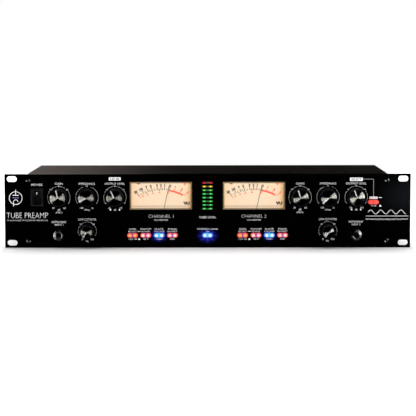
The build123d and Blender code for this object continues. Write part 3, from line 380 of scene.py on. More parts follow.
def turned(profile, segments, place):
    """A profile of (radius, height) points turned about +Z. Points on the axis become one vertex."""
    bm = bmesh.new()
    rings = []
    for radius, height in profile:
        points = circle(radius, segments) if radius > ON_AXIS else [(0, 0)]
        rings.append([bm.verts.new(place @ Vector((u, v, height))) for u, v in points])
    for lower, upper in zip(rings, rings[1:]):
        for step in range(segments):
            following = (step + 1) % segments
            corners = [lower[step % len(lower)], lower[following % len(lower)]]
            corners += [upper[following % len(upper)], upper[step % len(upper)]]
            unique = list(dict.fromkeys(corners))
            if len(unique) > 2:
                bm.faces.new(unique)
    return bm


def loft(bm, sections):
    """Joins closed outlines of equal length, lists of (x, y, z) points, and caps both ends."""
    rings = [[bm.verts.new(point) for point in section] for section in sections]
    for lower, upper in zip(rings, rings[1:]):
        for step in range(len(lower)):
            following = (step + 1) % len(lower)
            bm.faces.new((lower[step], lower[following], upper[following], upper[step]))
    bm.faces.new(rings[0])
    bm.faces.new(rings[-1][::-1])
    return bm


def slab(bm, outline, y_front, y_back):
    """A flat piece from an outline of (x, z) points, between two depths."""
    loft(bm, [[(x, y, z) for x, z in outline] for y in (y_front, y_back)])


def band(bm, x, z, radius, start, stop, width, y_front, y_back, steps=None):
    """An arc-shaped strip about (x, z), its angles clockwise from the top."""
    steps = steps or max(2, int(abs(stop - start) / ARC_STEP))
    sweep = stop - start
    outer = circle(radius + width / 2, steps, 90 - start, -sweep, closed=False)
    inner = circle(radius - width / 2, steps, 90 - start, -sweep, closed=False)
    slab(bm, [(x + u, z + v) for u, v in outer + inner[::-1]], y_front, y_back)


def stroke(bm, start, stop, width, y_front, y_back):
    """A straight printed line between two (x, z) points."""
    a, b = Vector(start), Vector(stop)
    side = Vector((a.y - b.y, b.x - a.x)).normalized() * width / 2
    slab(bm, [tuple(a + side), tuple(b + side), tuple(b - side), tuple(a - side)], y_front, y_back)


def dot(bm, x, z, radius, y_front, y_back):
    slab(bm, [(x + u, z + v) for u, v in circle(radius, DOT_STEPS)], y_front, y_back)


def rectangle(x0, x1, y, z0, z1):
    return [(x0, y, z0), (x1, y, z0), (x1, y, z1), (x0, y, z1)]


def rounded_section(half_w, half_h, radius, y):
    """A rectangle with round corners, as (x, y, z) points."""
    points = []
    for sx, sz, start in ((1, 1, 0), (-1, 1, 90), (-1, -1, 180), (1, -1, 270)):
        for u, v in circle(radius, CORNER_STEPS, start, 90, closed=False):
            points.append((sx * (half_w - radius) + u, y, sz * (half_h - radius) + v))
    return points


def round_section(radius, y, flats=0):
    """A closed outline about the Y axis: a circle, or a polygon with a number of flats."""
    points = []
    for u, v in circle(1.0, ROUND_STEPS):
        reach = radius
        if flats:
            part = 2 * math.pi / flats
            reach = radius / math.cos(math.atan2(v, u) % part - part / 2)
        points.append((reach * u, y, reach * v))
    return points


def letters(bm, words, x, z, width, height, y_front, y_back, turn=0.0, weight=LETTER_WEIGHT):
    """Words centred on (x, z), fitted to a height, and to a width unless that is 0, turned clockwise."""
    curve = bpy.data.curves.new("letters", "FONT")
    curve.body = words
    curve.offset = weight
    curve.resolution_u = 3
    curve.extrude = 0.5
    holder = bpy.data.objects.new("letters", curve)
    mesh = bpy.data.meshes.new_from_object(holder)
    xs = [v.co.x for v in mesh.vertices]
    ys = [v.co.y for v in mesh.vertices]
    middle = Vector(((min(xs) + max(xs)) / 2, (min(ys) + max(ys)) / 2, 0))
    upward = height / (max(ys) - min(ys))
    across = width / (max(xs) - min(xs)) if width else upward
    scale = Matrix.Diagonal((across, upward, y_back - y_front, 1))
    place = Matrix.Translation((x, (y_front + y_back) / 2, z)) @ Matrix.Rotation(math.radians(turn), 4, "Y")
    mesh.transform(place @ FACING_FRONT @ scale @ Matrix.Translation(-middle))
    bm.from_mesh(mesh)
    bpy.data.meshes.remove(mesh)
    bpy.data.objects.remove(holder)
    bpy.data.curves.remove(curve)


# -------- knobs

DISC_RADII = {
    "left_gain": 9.25, "left_impedance": 9.25, "left_output": 9.25,
    "right_gain": 9.25, "right_impedance": 9.25, "right_output": 9.25,
    "left_filter": 6.8, "right_filter": 6.8,
}
DISC_STEPS = 96
DISC_FLOOR_Y = -17.9
DISC_RAISED = 0.2
DISC_FRONT = 0.12
DISC_BACK = -0.35
DISC_GAP = 0.12
DISC_FLAT = 0.8
GROOVE_FIRST = 0.4
GROOVE_PITCH = 0.42
GROOVE_DEPTH = 0.02
LINE_WIDTH = 0.72
LINE_START = 0.3
LINE_PAST_DISC = 0.35
LINE_DEPTHS = (DISC_FLOOR_Y - 0.42, DISC_FLOOR_Y - 0.1)


def knob_centre(body):
    joint = JOINTS[body]
    return joint["pos_m"][0] / MM, joint["pos_m"][2] / MM


def around(x, z, radius, angle):
    """A point (x, z) at a radius and a clockwise angle from the top."""
    turn = math.radians(angle)
    return x + radius * math.sin(turn), z + radius * math.cos(turn)


def spun_disc(body, radius):
    """The turned metal disc set in a knob's front, with its circles cut as real grooves."""
    x, z = knob_centre(body)
    edge = radius - DISC_GAP
    profile = [(0, DISC_BACK), (0, DISC_FRONT)]
    for groove in range(int((edge - DISC_FLAT) / GROOVE_PITCH)):
        inner = GROOVE_FIRST + groove * GROOVE_PITCH
        profile += [(inner, DISC_FRONT), (inner + GROOVE_PITCH / 2, DISC_FRONT - GROOVE_DEPTH)]
    profile += [(edge - 0.35, DISC_FRONT), (edge - 0.1, 0.05), (edge, -0.1), (edge, DISC_BACK)]
    bm = turned(profile, DISC_STEPS, FACING_FRONT)
    origin = (x, DISC_FLOOR_Y - DISC_RAISED, z)
    finish_piece(body + "_disc", bm, SPUN, "knob_black", body, smooth_angle=60.0, origin=origin)


def pointer_line(body, radius):
    """The white line laid into the disc, from its middle to the knob's rim."""
    x, z = knob_centre(body)
    angle = rest_angle(body)
    bm = bmesh.new()
    ends = around(x, z, LINE_START, angle), around(x, z, radius + LINE_PAST_DISC, angle)
    stroke(bm, *ends, LINE_WIDTH, *LINE_DEPTHS)
    finish_piece(body + "_line", bm, WHITE_INK, "knob_black", body)


# -------- level meters

METER_PIVOT_Z = JOINTS["left_needle"]["pos_m"][2] / MM
METER_CENTRE_X = 55.3
WINDOW_HALF_W = 36.75
WINDOW_HALF_H = 16.4
WINDOW_Z = 17.95
WINDOW_GAP = 0.1
WINDOW_CORNER = 0.6
WINDOW_STEPS = ((1.7, 0.0), (-1.0, 0.0), (-2.1, 1.1), (-2.38, 1.55))
DIAL_Y = 8.4
DIAL_THICK = 0.5
DIAL_BOW = 0.25
DIAL_COLUMNS = 24
LEDGE_HEIGHT = 2.6
LEDGE_DEPTH = 1.1
SCALE_RADIUS = 56.0
SCALE_CENTRE_Z = WINDOW_Z - 49.8
SCALE_MARKS = (
    (-42.0, "20"), (-33.0, "10"), (-24.0, "7"), (-17.0, "5"), (-7.0, "3"), (-0.5, "2"),
    (5.5, "1"), (14.5, "0"), (23.0, "1"), (33.5, "2"), (43.5, "3"),
)
SCALE_BETWEEN = (-29.0, -20.5, -12.0, -3.8, 2.5, 10.0)
ZERO_MARK = 14.5
PERCENT_MARKS = ((-42.0, "0"), (-37.0, "20"), (-28.0, "40"), (-17.0, "60"), (-3.5, "80"), (14.5, "100"))
NUMBER_LEAN = 0.8
NUMBER_HEIGHT = 3.5
NUMBER_OUT = 5.6
LONG_TICK = 3.4
SHORT_TICK = 2.1
PERCENT_HEIGHT = 1.8
PERCENT_IN = -3.0
PERCENT_TICK = -1.6
THIN = 0.6
RED_BAND = 2.25
RED_BAND_END = 2.0


def scale_radius_at(angle):
    """Distance from the needle's pivot to the printed arc, whose own centre lies lower."""
    drop = METER_PIVOT_Z - SCALE_CENTRE_Z
    turn = math.radians(angle)
    return -drop * math.cos(turn) + math.sqrt(SCALE_RADIUS ** 2 - (drop * math.sin(turn)) ** 2)


def dial_point(x, angle, beyond):
    return around(x, METER_PIVOT_Z, scale_radius_at(angle) + beyond, angle)


def dial_ticks(dark, bright, x, depths):
    """Ticks and numbers of a volume-unit scale, and its smaller percent scale."""
    for angle, number in SCALE_MARKS:
        target = bright if angle > ZERO_MARK else dark
        stroke(target, dial_point(x, angle, 0), dial_point(x, angle, LONG_TICK), 0.8, *depths)
        width = 4.2 if len(number) > 1 else 0
        place = dial_point(x, angle, NUMBER_OUT)
        letters(target, number, *place, width, NUMBER_HEIGHT, *depths, angle * NUMBER_LEAN, 0.07)
    for angle in SCALE_BETWEEN:
        stroke(dark, dial_point(x, angle, 0), dial_point(x, angle, SHORT_TICK), THIN, *depths)
    for angle, number in PERCENT_MARKS:
        place = dial_point(x, angle, PERCENT_IN)
        letters(bright, number, *place, 0, PERCENT_HEIGHT, *depths, angle * NUMBER_LEAN, 0.06)
        stroke(dark, dial_point(x, angle, PERCENT_TICK), dial_point(x, angle, 0), THIN, *depths)


def dial_print(side, x):
    """Everything printed on a meter's dial."""
    depths = (DIAL_Y - 0.06, DIAL_Y)
    dark, bright = bmesh.new(), bmesh.new()
    dial_ticks(dark, bright, x, depths)
    low, zero, high = (
        math.degrees(math.asin(dial_point(0, angle, 0)[0] / SCALE_RADIUS))
        for angle in (SCALE_MARKS[0][0], ZERO_MARK, SCALE_MARKS[-1][0])
    )
    band(dark, x, SCALE_CENTRE_Z, SCALE_RADIUS, low, zero, 0.16, *depths, 30)
    red = zero, high - RED_BAND_END, RED_BAND, DIAL_Y - 0.08, DIAL_Y
    band(bright, x, SCALE_CENTRE_Z, SCALE_RADIUS, *red, 20)
    letters(dark, "VU", x + 30.2, WINDOW_Z - 9.9, 8.2, 4.1, *depths, weight=0.11)
    minus_z, plus_x, plus_z = WINDOW_Z + 13.4, x + 28.3, WINDOW_Z + 13.3
    stroke(dark, (x - 28.9, minus_z), (x - 25.3, minus_z), 0.9, *depths)
    stroke(bright, (plus_x - 1.6, plus_z), (plus_x + 1.6, plus_z), 1.0, *depths)
    stroke(bright, (plus_x, plus_z - 1.6), (plus_x, plus_z + 1.6), 1.0, *depths)
    finish_piece(side + "_dial_black_print", dark, BLACK_INK, "dial_card", ROOT)
    finish_piece(side + "_dial_red_print", bright, RED_LIT_INK, "dial_card", ROOT)


def dial_plate(side, x):
    """The card, gently bowed across its width."""
    low, high = box_mm("meter_dials")
    sections = []
    for step in range(DIAL_COLUMNS + 1):
        across = -DIAL_HALF + 2 * DIAL_HALF * step / DIAL_COLUMNS
        bow = DIAL_BOW * (across / DIAL_HALF) ** 2
        corners = ((bow, low.z), (bow, high.z), (bow + DIAL_THICK, high.z), (bow + DIAL_THICK, low.z))
        sections.append([(across, y, z) for y, z in corners])
    bm = loft(bmesh.new(), sections)
    origin = (x, DIAL_Y + 0.02, 0)
    return finish_piece(side + "_dial_card", bm, DIAL, "dial_card", ROOT, origin=origin)


def dial_ledge(side, x):
    """The lit ledge along the foot of the dial, with the shadow line over it."""
    window_low = WINDOW_Z - WINDOW_HALF_H
    top = window_low + LEDGE_HEIGHT
    sections = []
    for z, y in ((window_low - 3.0, 0.0), (top - 0.3, 0.0), (top, 0.25)):
        sections.append([(-DIAL_HALF, y, z), (DIAL_HALF, y, z), (DIAL_HALF, 1.05, z), (-DIAL_HALF, 1.05, z)])
    bm = loft(bmesh.new(), sections)
    finish_piece(side + "_dial_ledge", bm, LEDGE, "dial_card", ROOT, origin=(x, DIAL_Y - LEDGE_DEPTH, 0))
    bm = bmesh.new()
    line_z = top + 0.5
    stroke(bm, (x - DIAL_HALF, line_z), (x + DIAL_HALF, line_z), 0.8, DIAL_Y - 0.04, DIAL_Y)
    finish_piece(side + "_dial_shadow_line", bm, LEDGE_SHADE, "dial_card", ROOT)


def meter_lens(side, x):
    """The window: a clear moulding whose bevelled edge is given a dark brown, part-opaque colour as painted
    shade.
    """
    half_w, half_h = WINDOW_HALF_W - WINDOW_GAP, WINDOW_HALF_H - WINDOW_GAP
    sections = []
    for y, inset in WINDOW_STEPS:
        sections.append(rounded_section(half_w - inset, half_h - inset, WINDOW_CORNER, y))
    bm = loft(bmesh.new(), sections)
    looks = WINDOW, "clear_window", ROOT
    lens = finish_piece(side + "_meter_window", bm, *looks, smooth_angle=20.0, origin=(x, 0, WINDOW_Z))
    lens.data.materials.append(WINDOW_EDGE_SHADE)
    for face in lens.data.polygons:
        face.material_index = 0 if abs(face.normal.y) > FLAT_FACE else 1
    return lens


# -------- lamps, buttons, nuts and screws

LAMP_WIDTH = 5.0
LAMP_HEIGHT = 2.0
LAMP_CORNER = 0.25
LAMP_ROWS = 8
LAMP_STEPS = ((3.0, 0), (0, 0), (-2.7, 0), (-3.05, 0.12), (-3.28, 0.4))
BUTTON_WIDTH = 12.6
BUTTON_HEIGHT = 5.0
BUTTON_END_STEPS = 10
BUTTON_ORIGIN_Y = -4.0
BUTTON_STEPS = ((0.0, 0.0), (-4.3, 0.0), (-4.8, 0.15), (-5.15, 0.45), (-5.36, 0.95), (-5.46, 1.6))
NUT_STEPS = 72
NUT_PROFILE = (
    (4.65, 0), (6.9, 0), (6.95, 0.2), (6.95, 1.5), (6.82, 1.9), (6.5, 2.25), (6.1, 2.4), (5.2, 2.4),
    (4.85, 2.25), (4.65, 1.9), (4.65, 0),
)
SLEEVE_MOUTH = ((3.16, -12.0), (3.16, 5.7), (3.26, 6.15), (3.5, 6.45), (3.85, 6.6), (4.2, 6.6), (4.55, 6.5))
SLEEVE_FOOT = ((4.63, 0.2), (4.63, -1.0), (3.16, -12.0))
THREAD_CRESTS = 6
THREAD_TOP = 6.3
THREAD_PITCH = 0.65
THREAD_ROOT = 0.32
SCREW_HEAD_R = 2.9
SCREW_SHANK = (1.48, 1.6)
SCREW_RIM = ((2.9, 0.75), (2.78, 0.38), (2.48, 0.12), (2.1, 0.0))
SCREW_SOCKET = ((1.6, 0.0), (1.25, 0.22), (1.25, 1.2))
JACK_HALF_SPACING = 176.7
LINE_JACK_INSET = 7.5


def lamp_places():
    """Columns and rows of the level ladder, worked out from the lamps' box."""
    low, high = box_mm("level_lamps")
    xs = (low.x + LAMP_WIDTH / 2, high.x - LAMP_WIDTH / 2)
    first, last = high.z - LAMP_HEIGHT / 2, low.z + LAMP_HEIGHT / 2
    return [(x, first + (last - first) * row / (LAMP_ROWS - 1), row) for x in xs for row in range(LAMP_ROWS)]


def level_lamp(index, x, z, material):
    """A rectangular lamp with softened edges and a slightly crowned face."""
    half_w, half_h = LAMP_WIDTH / 2, LAMP_HEIGHT / 2
    sections = []
    for y, inset in LAMP_STEPS:
        sections.append(rounded_section(half_w - inset, half_h - inset, LAMP_CORNER, y))
    bm = loft(bmesh.new(), sections)
    return finish_piece(f"level_lamp_{index}", bm, material, "lamp_plastic", ROOT, origin=(x, 0, z))


def pill_section(inset, y):
    """A button's outline, shrunk by inset, as (x, y, z) points."""
    half = (BUTTON_WIDTH - BUTTON_HEIGHT) / 2
    points = []
    for sign, start in ((1, -90), (-1, 90)):
        end = circle(BUTTON_HEIGHT / 2 - inset, BUTTON_END_STEPS, start, 180, closed=False)
        points += [(sign * half + u, y, v) for u, v in end]
    return points


def lit_button(body, node, material):
    """A milky pill with a rolled edge and a low crown."""
    middle = centre(node)
    bm = loft(bmesh.new(), [pill_section(inset, y - BUTTON_ORIGIN_Y) for y, inset in BUTTON_STEPS])
    origin = (middle.x, BUTTON_ORIGIN_Y, middle.z)
    return finish_piece(node + "_lens", bm, material, "button_lens", body, 50.0, origin)


def round_nut(index, x, z, face, turn):
    """A bright round nut with a rolled rim."""
    bm = turned(NUT_PROFILE, NUT_STEPS, turn)
    return finish_piece(f"jack_nut_{index}", bm, NICKEL, "nut_chrome", ROOT, 40.0, (x, face, z))


def jack_sleeve(index, x, z, face, turn):
    """The plated sleeve over a jack's bushing, with its thread crests and rounded mouth."""
    profile = list(SLEEVE_MOUTH)
    for crest in range(THREAD_CRESTS):
        height = THREAD_TOP - crest * THREAD_PITCH
        profile += [(4.85, height), (4.63, height - THREAD_ROOT)]
    profile += SLEEVE_FOOT
    bm = turned(profile, ROUND_STEPS, turn)
    finish_piece(f"jack_sleeve_{index}", bm, NICKEL, "nut_chrome", ROOT, 30.0, (x, face, z))


def sunk_screw(index, x, z, front, back):
    """A cap screw sunk in the panel, with a rolled rim and a chamfered hexagon socket."""
    shank, under_head = SCREW_SHANK
    sections = [round_section(shank, back), round_section(shank, front + under_head)]
    sections.append(round_section(SCREW_HEAD_R, front + under_head))
    sections += [round_section(radius, front + drop) for radius, drop in SCREW_RIM]
    sections += [round_section(reach, front + drop, 6) for reach, drop in SCREW_SOCKET]
    bm = loft(bmesh.new(), sections)
    return finish_piece(f"panel_screw_{index}", bm, BLACK_SCREW, "black_steel", ROOT, 50.0, (x, 0, z))


# -------- printing on the panel

PRINT_FRONT = FACE_Y - 0.05
PRINT_BACK = FACE_Y + 0.01
BIG_RING = 13.4
SMALL_RING = 10.9
RING_LINE = 0.13
OPEN_ARCS = ((-122, -58), (-35, 35), (58, 122))
TOP_ARCS = ((-122, -22), (22, 122))
SMALL_ARCS = ((-118, -57), (-30, 30), (57, 118))
GAIN_NUMBERS = ((-46, "30"), (46, "50"), (-152, "20"), (152, "60"), (0, "'"))
OHM_NUMBERS = ((0, "1k"), (-152, "150"), (152, "3k"))
OUTPUT_NUMBERS = ((-46, "-6"), (46, "+4"), (-152, "-20"), (152, "+10"), (0, "'"))
FILTER_NUMBERS = ((-43, "20"), (43, "80"), (-150, "0"), (150, "200"))
KNOB_SCALES = (
    ("gain", -0.3, BIG_RING, OPEN_ARCS, GAIN_NUMBERS, ("GAIN", 9.4), "dB"),
    ("impedance", -0.3, BIG_RING, TOP_ARCS, OHM_NUMBERS, ("IMPEDANCE", 19.2), "ohms"),
    ("output", -0.3, BIG_RING, OPEN_ARCS, OUTPUT_NUMBERS, ("OUTPUT LEVEL", 24.0), "dB"),
    ("filter", 0.2, SMALL_RING, SMALL_ARCS, FILTER_NUMBERS, ("LOW CUT FILTER", 21.2), "Hz"),
)
HEADING_RISE = {BIG_RING: 3.1, SMALL_RING: 2.945}
LOW_NUMBER = 140
BUTTON_WORDS = (
    ("boost", "GAIN", "BOOST", "+20 dB"), ("phantom", "PHANTOM", "POWER", "48 V"),
    ("plate", "PLATE", "VOLTAGE", "HIGH"), ("phase", "PHASE", "INVERT", "180"),
)
UPPER_ROW = 7.5
LOWER_ROW = 4.6
UNDER_ROW = -4.5
LADDER_NUMBERS = ("+9", "+6", "+3", "0", "-3", "-6", "-9", "-12")
TITLE_X = -214.4
TITLE_WIDTH = 49.0
RULE_Z = -6.4
WAVE_START = 191.0
WAVE_STEP = 0.5
WAVE_STEPS = 90
WAVE_PERIOD = 24
WAVE_Z = -1.6
WAVE_HEIGHT = 2.4
VALVE_CENTRE = (-228.0, 15.5)
VALVE_RADIUS = 7.6
REAR_WORDS = (
    ("INPUT", "input_sockets", 13.0, 20.0), ("OUTPUT", "output_sockets", 13.0, 20.0),
    ("LINE", "line_jacks", LINE_JACK_INSET, 13.0),
)


def printed(bm, kind, *values, **options):
    kind(bm, *values, PRINT_FRONT, PRINT_BACK, **options)


def text(bm, words, x, z, width, height, **options):
    printed(bm, letters, words, x, z, width, height, **options)


def knob_scale(bm, x, z, radius, arcs, numbers, heading, unit):
    """An arc scale with numbers, a heading (words, width) above it and a unit below."""
    for start, stop in arcs:
        printed(bm, band, x, z, radius, start, stop, RING_LINE)
        for end in (start, stop):
            tick = around(x, z, radius - 0.8, end), around(x, z, radius + 0.3, end)
            printed(bm, stroke, *tick, RING_LINE)
    for angle, number in numbers:
        beyond = 0.6 if abs(angle) > LOW_NUMBER else 0.2
        text(bm, number, *around(x, z, radius + beyond, angle), 0, 1.9)
    words, width = heading
    text(bm, words, x, z + radius + HEADING_RISE[radius], width, 2.4)
    text(bm, unit, x, z - radius - 1.2, 0, 2.0)


def knob_scales(bm):
    for side, _ in SIDES:
        for kind, rise, *scale in KNOB_SCALES:
            x, z = knob_centre(f"{side}_{kind}")
            knob_scale(bm, x, z + rise, *scale)
        x, z = knob_centre(side + "_gain")
        text(bm, "(MIC)", x, z - 18.4, 7.4, 2.4)
        x, z = knob_centre(side + "_output")
        for _, sign in SIDES:
            printed(bm, dot, x + sign * 5.4, z - 14.9, 0.9)


def boxed_word(bm, dark, word, x, z, width, height):
    """A printed white box with a dark word in it."""
    left, right, low, high = x - width / 2, x + width / 2, z - height / 2, z + height / 2
    printed(bm, slab, [(left, low), (right, low), (right, high), (left, high)])
    letters(dark, word, x, z, width * 0.82, height * 0.62, PRINT_FRONT - 0.03, PRINT_FRONT, weight=0.03)


def up_mark(bm, x, z, size):
    printed(bm, slab, [(x - size, z - size * 0.7), (x + size, z - size * 0.7), (x, z + size * 0.8)])


def button_words(bm):
    for side, _ in SIDES:
        for kind, upper, lower, under in BUTTON_WORDS:
            key = centre(f"{side}_{kind}_button")
            text(bm, upper, key.x, key.z + UPPER_ROW, min(12.6, 2.0 * len(upper)), 1.9)
            text(bm, lower, key.x, key.z + LOWER_ROW, min(12.4, 2.0 * len(lower)), 1.7)
            text(bm, under, key.x, key.z + UNDER_ROW, 1.7 * len(under), 1.7)
        gap = (centre(f"{side}_boost_button") + centre(f"{side}_phantom_button")) / 2
        printed(bm, stroke, (gap.x - 1.6, gap.z + LOWER_ROW), (gap.x + 1.6, gap.z + LOWER_ROW), 0.6)
        up_mark(bm, gap.x, gap.z - 4.4, 1.5)
    link = centre("link_button")
    text(bm, "STEREO LINK", link.x, link.z + UPPER_ROW, 25.0, 1.9)
    text(bm, "ON", link.x, link.z + LOWER_ROW, 0, 1.7)


def channel_words(bm):
    for number, (_, sign) in enumerate(SIDES, 1):
        x = sign * METER_CENTRE_X
        text(bm, f"CHANNEL {number}", x, -6.4, 29.5, 3.7, weight=-0.03)
        text(bm, "VU METER", x, -11.0, 17.0, 1.8)
        jack_x = centre("instrument_jacks").x + sign * JACK_HALF_SPACING
        text(bm, "INSTRUMENT", jack_x, -13.2, 17.0, 2.3)
        text(bm, f"INPUT {number}", jack_x, -16.5, 10.0, 2.2)
    text(bm, "TUBE LEVEL", 0, -7.7, 20.5, 2.4)
    for _, z, row in lamp_places()[LAMP_ROWS:]:
        text(bm, LADDER_NUMBERS[row], 0, z, 0, 1.25)
    switch = centre("power_switch_body")
    text(bm, "POWER", switch.x, switch.z + 14.9, 13.0, 2.4)


def select_words(bm, dark, grey):
    """The boxed words over the output knobs, and the grey line from the right one to its button."""
    left_x, right_x = knob_centre("left_output")[0], knob_centre("right_output")[0]
    key = centre("select_button")
    boxed_word(bm, dark, "LINE", left_x, 38.2, 14.0, 3.7)
    boxed_word(bm, dark, "SELECT", right_x, 37.4, 15.0, 3.9)
    boxed_word(bm, dark, "RANGE", key.x, key.z + 5.2, 9.4, 2.6)
    text(bm, "+4 dB", key.x, key.z - 4.3, 6.4, 1.7)
    printed(bm, stroke, (key.x + 6.4, key.z + 5.4), (key.x + 9.8, key.z + 5.4), 0.6)
    up_mark(bm, key.x + 8.1, key.z - 4.2, 1.6)
    printed(grey, stroke, (right_x + 7.5, 37.6), (key.x, 37.6), 0.55)
    printed(grey, stroke, (key.x, 37.85), (key.x, key.z + 6.5), 0.55)


def generic_name(bm):
    """Plain words and marks that say what the unit is, where a maker would print a name."""
    text(bm, "TUBE PREAMP", TITLE_X, -5.2, TITLE_WIDTH, 6.4, weight=TITLE_WEIGHT)
    text(bm, "TWO CHANNEL MICROPHONE PREAMPLIFIER", TITLE_X, -11.2, TITLE_WIDTH, 1.7, weight=TITLE_WEIGHT)
    printed(bm, stroke, (188.0, RULE_Z), (239.0, RULE_Z), 0.42)
    text(bm, "MICROPHONE AND INSTRUMENT", 213.5, -10.2, 50.0, 1.8)
    wave = []
    for step in range(WAVE_STEPS + 1):
        height = WAVE_HEIGHT * math.sin(2 * math.pi * step / WAVE_PERIOD)
        wave.append((WAVE_START + WAVE_STEP * step, WAVE_Z + height))
    for a, b in zip(wave, wave[1:]):
        printed(bm, stroke, a, b, 0.45)


def valve_symbol(bm, violet):
    """The circuit symbol of a triode."""
    x, z = VALVE_CENTRE
    plate_z, cathode_z = z + 3.4, z - 4.6
    printed(bm, band, x, z, VALVE_RADIUS, 0, 360, 0.6, steps=48)
    printed(bm, stroke, (x - 3.6, plate_z), (x + 3.6, plate_z), 0.7)
    printed(bm, stroke, (x, plate_z), (x, z + 10.0), 0.6)
    for step in (-1, 0, 1):
        grid_x = x + 2.7 * step
        printed(violet, stroke, (grid_x - 0.9, z + 0.4), (grid_x + 0.9, z + 0.4), 0.6)
    printed(bm, band, x, cathode_z, 2.6, -90, 90, 0.6, steps=12)
    printed(bm, stroke, (x - 2.6, cathode_z), (x - 2.6, z - 10.0), 0.6)


def rear_words(bm):
    """Words over the rear sockets, read from behind: set from the front, then turned round with the sheet."""
    places = [(centre("inlet_body").x, 22.0, "AC INPUT")]
    for words, node, inset, z in REAR_WORDS:
        low, high = box_mm(node)
        places += [(low.x + inset, z, words + " 1"), (high.x - inset, z, words + " 2")]
    for x, z, words in places:
        letters(bm, words, -x, z, 0, 2.4, -REAR_Y - 0.05, -REAR_Y + 0.01)
    bmesh.ops.rotate(bm, matrix=Matrix.Rotation(math.pi, 3, "Z"), verts=bm.verts)


# -------- building the looks

NODE_FINISHES = (
    (PANEL_PAINT, "front_panel"),
    (CASE_PAINT, "chassis_tray", "top_cover"),
    (BLACK_SCREW, "cover_screws"),
    (ZINC, "machine_screws", "pot_nuts", "transformer_clamp", "input_latch_1", "input_latch_2"),
    (POT_STEEL, "potentiometers", "meter_movements"),
    (SWITCH_FRAME, "power_switch_body"),
    (MOULDING, "power_rocker", "button_switches", "instrument_jacks", "line_jacks"),
    (MOULDING, "inlet_body", "fuse_drawer", "voltage_regulators"),
    (WHITE_MOULDING, "meter_housings"),
    (DIE_CAST, "input_sockets", "output_sockets"),
    (SILVER, "output_pins", "inlet_pins"),
    (GLASS, "fuse", "tube_glass"),
    (BOARD, "control_board", "main_board"),
    (BRASS, "board_standoffs"),
    (CERAMIC, "tube_sockets"),
    (ELECTRODE, "tube_electrodes"),
    (CORE, "transformer_core"),
    (WRAP, "transformer_winding"),
    (CAN, "filter_capacitors"),
    (ANODISED, "heat_sink"),
    (NEEDLE, "left_meter_pointer", "right_meter_pointer"),
    (KNOB_PLASTIC, *(body + "_knob" for body in DISC_RADII)),
)


def dress_frame():
    """Gives the CAD nodes that stay their finishes."""
    for material, *nodes in NODE_FINISHES:
        for node in nodes:
            materials = frame["nodes"][node].data.materials
            materials.clear()
            materials.append(material)


def build_knobs():
    for body, radius in DISC_RADII.items():
        spun_disc(body, radius)
        pointer_line(body, radius)


def build_meters():
    cards, lenses = [], []
    for side, sign in SIDES:
        x = sign * METER_CENTRE_X
        cards.append(dial_plate(side, x))
        dial_ledge(side, x)
        dial_print(side, x)
        lenses.append(meter_lens(side, x))
    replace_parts(cards[0], "meter_dials")
    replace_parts(lenses[0], "meter_lenses")


def build_lamps():
    places = enumerate(lamp_places(), 1)
    lamps = [level_lamp(index, x, z, LADDER_FINISHES[row]) for index, (x, z, row) in places]
    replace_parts(lamps[0], "level_lamps")


def build_buttons():
    for body in JOINTS:
        if body.endswith("_key"):
            name = body.removesuffix("_key")
            node = name + "_button"
            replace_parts(lit_button(body, node, BUTTON_FINISHES[name.split("_")[-1]]), node)


def build_nuts():
    jack_z = centre("instrument_jacks").z
    low, high = box_mm("line_jacks")
    places = [(sign * JACK_HALF_SPACING, jack_z, FACE_Y, FACING_FRONT) for _, sign in SIDES]
    places += [(x, 0.0, REAR_Y, FACING_REAR) for x in (low.x + LINE_JACK_INSET, high.x - LINE_JACK_INSET)]
    nuts = []
    for index, place in enumerate(places, 1):
        nuts.append(round_nut(index, *place))
        jack_sleeve(index, *place)
    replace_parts(nuts[0], "jack_nuts")


def build_screws():
    low, high = box_mm("panel_screws")
    xs = (low.x + SCREW_HEAD_R, high.x - SCREW_HEAD_R)
    zs = (low.z + SCREW_HEAD_R, high.z - SCREW_HEAD_R)
    places = enumerate([(x, z) for x in xs for z in zs], 1)
    screws = [sunk_screw(index, x, z, low.y, high.y) for index, (x, z) in places]
    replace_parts(screws[0], "panel_screws")


def build_printing():
    white, dark, grey, violet, rear = (bmesh.new() for _ in range(5))
    knob_scales(white)
    button_words(white)
    channel_words(white)
    select_words(white, dark, grey)
    generic_name(white)
    valve_symbol(white, violet)
    rear_words(rear)
    finish_piece("panel_legends", white, WHITE_INK, "panel_black", ROOT)
    finish_piece("panel_boxed_words", dark, BLACK_INK, "panel_black", ROOT)
    finish_piece("panel_grey_lines", grey, GREY_INK, "panel_black", ROOT)
    finish_piece("panel_violet_marks", violet, VIOLET_INK, "panel_black", ROOT)
    finish_piece("rear_legends", rear, WHITE_INK, "case_black", ROOT)


def build_rocker_mark():
    middle = centre("power_rocker")
    bm = bmesh.new()
    stroke(bm, (middle.x, middle.z + 3.4), (middle.x, middle.z + 5.6), 0.7, -5.0, -4.2)
    finish_piece("rocker_mark", bm, WHITE_INK, "rocker_black", "rocker")


# -------- stage, light and camera

FLOOR_X = 2.2
FLOOR_FRONT = -2.6
FLOOR_REAR = 1.2
# Painted light on the floor: emission that fades in far in front of the object and beside its ends, washing
# out the shadow there.
FRONT_PAINTED_LIGHT = (-0.85, -0.06)
SIDE_PAINTED_LIGHT = (0.240, 0.262)
SIDE_PAINTED_LIGHT_LEVEL = 0.4
WHITE = (1, 1, 1, 1)
WARM_LIGHT = (1.0, 0.99, 0.95)
OVERHEAD_POWER = 66.0
FILL_POWER = 40.0
CARD_X = 0.62
CARD_Y = -0.42
CARD_HALF = 0.16
FRONT_CARDS = (("left", -1, 5.0, -0.28, 0.12), ("right", 1, 9.0, -0.04, 0.34))
BACK_CARD_X = 0.55
BACK_CARD_Y = 0.62
BACK_CARDS = 2.0
BLUE_CARD = 0.8
REAR_CARD = 1.2
GLARE_COLOUR = (0.05, 0.07, 1.0)
GLARE_DROP = 0.6
GLARE_GAP = 0.2
GLARE = (("left_plate_button", 10.0, 0.42), ("right_plate_button", 8.5, 0.32), ("link_button", 11.5, 0.56))
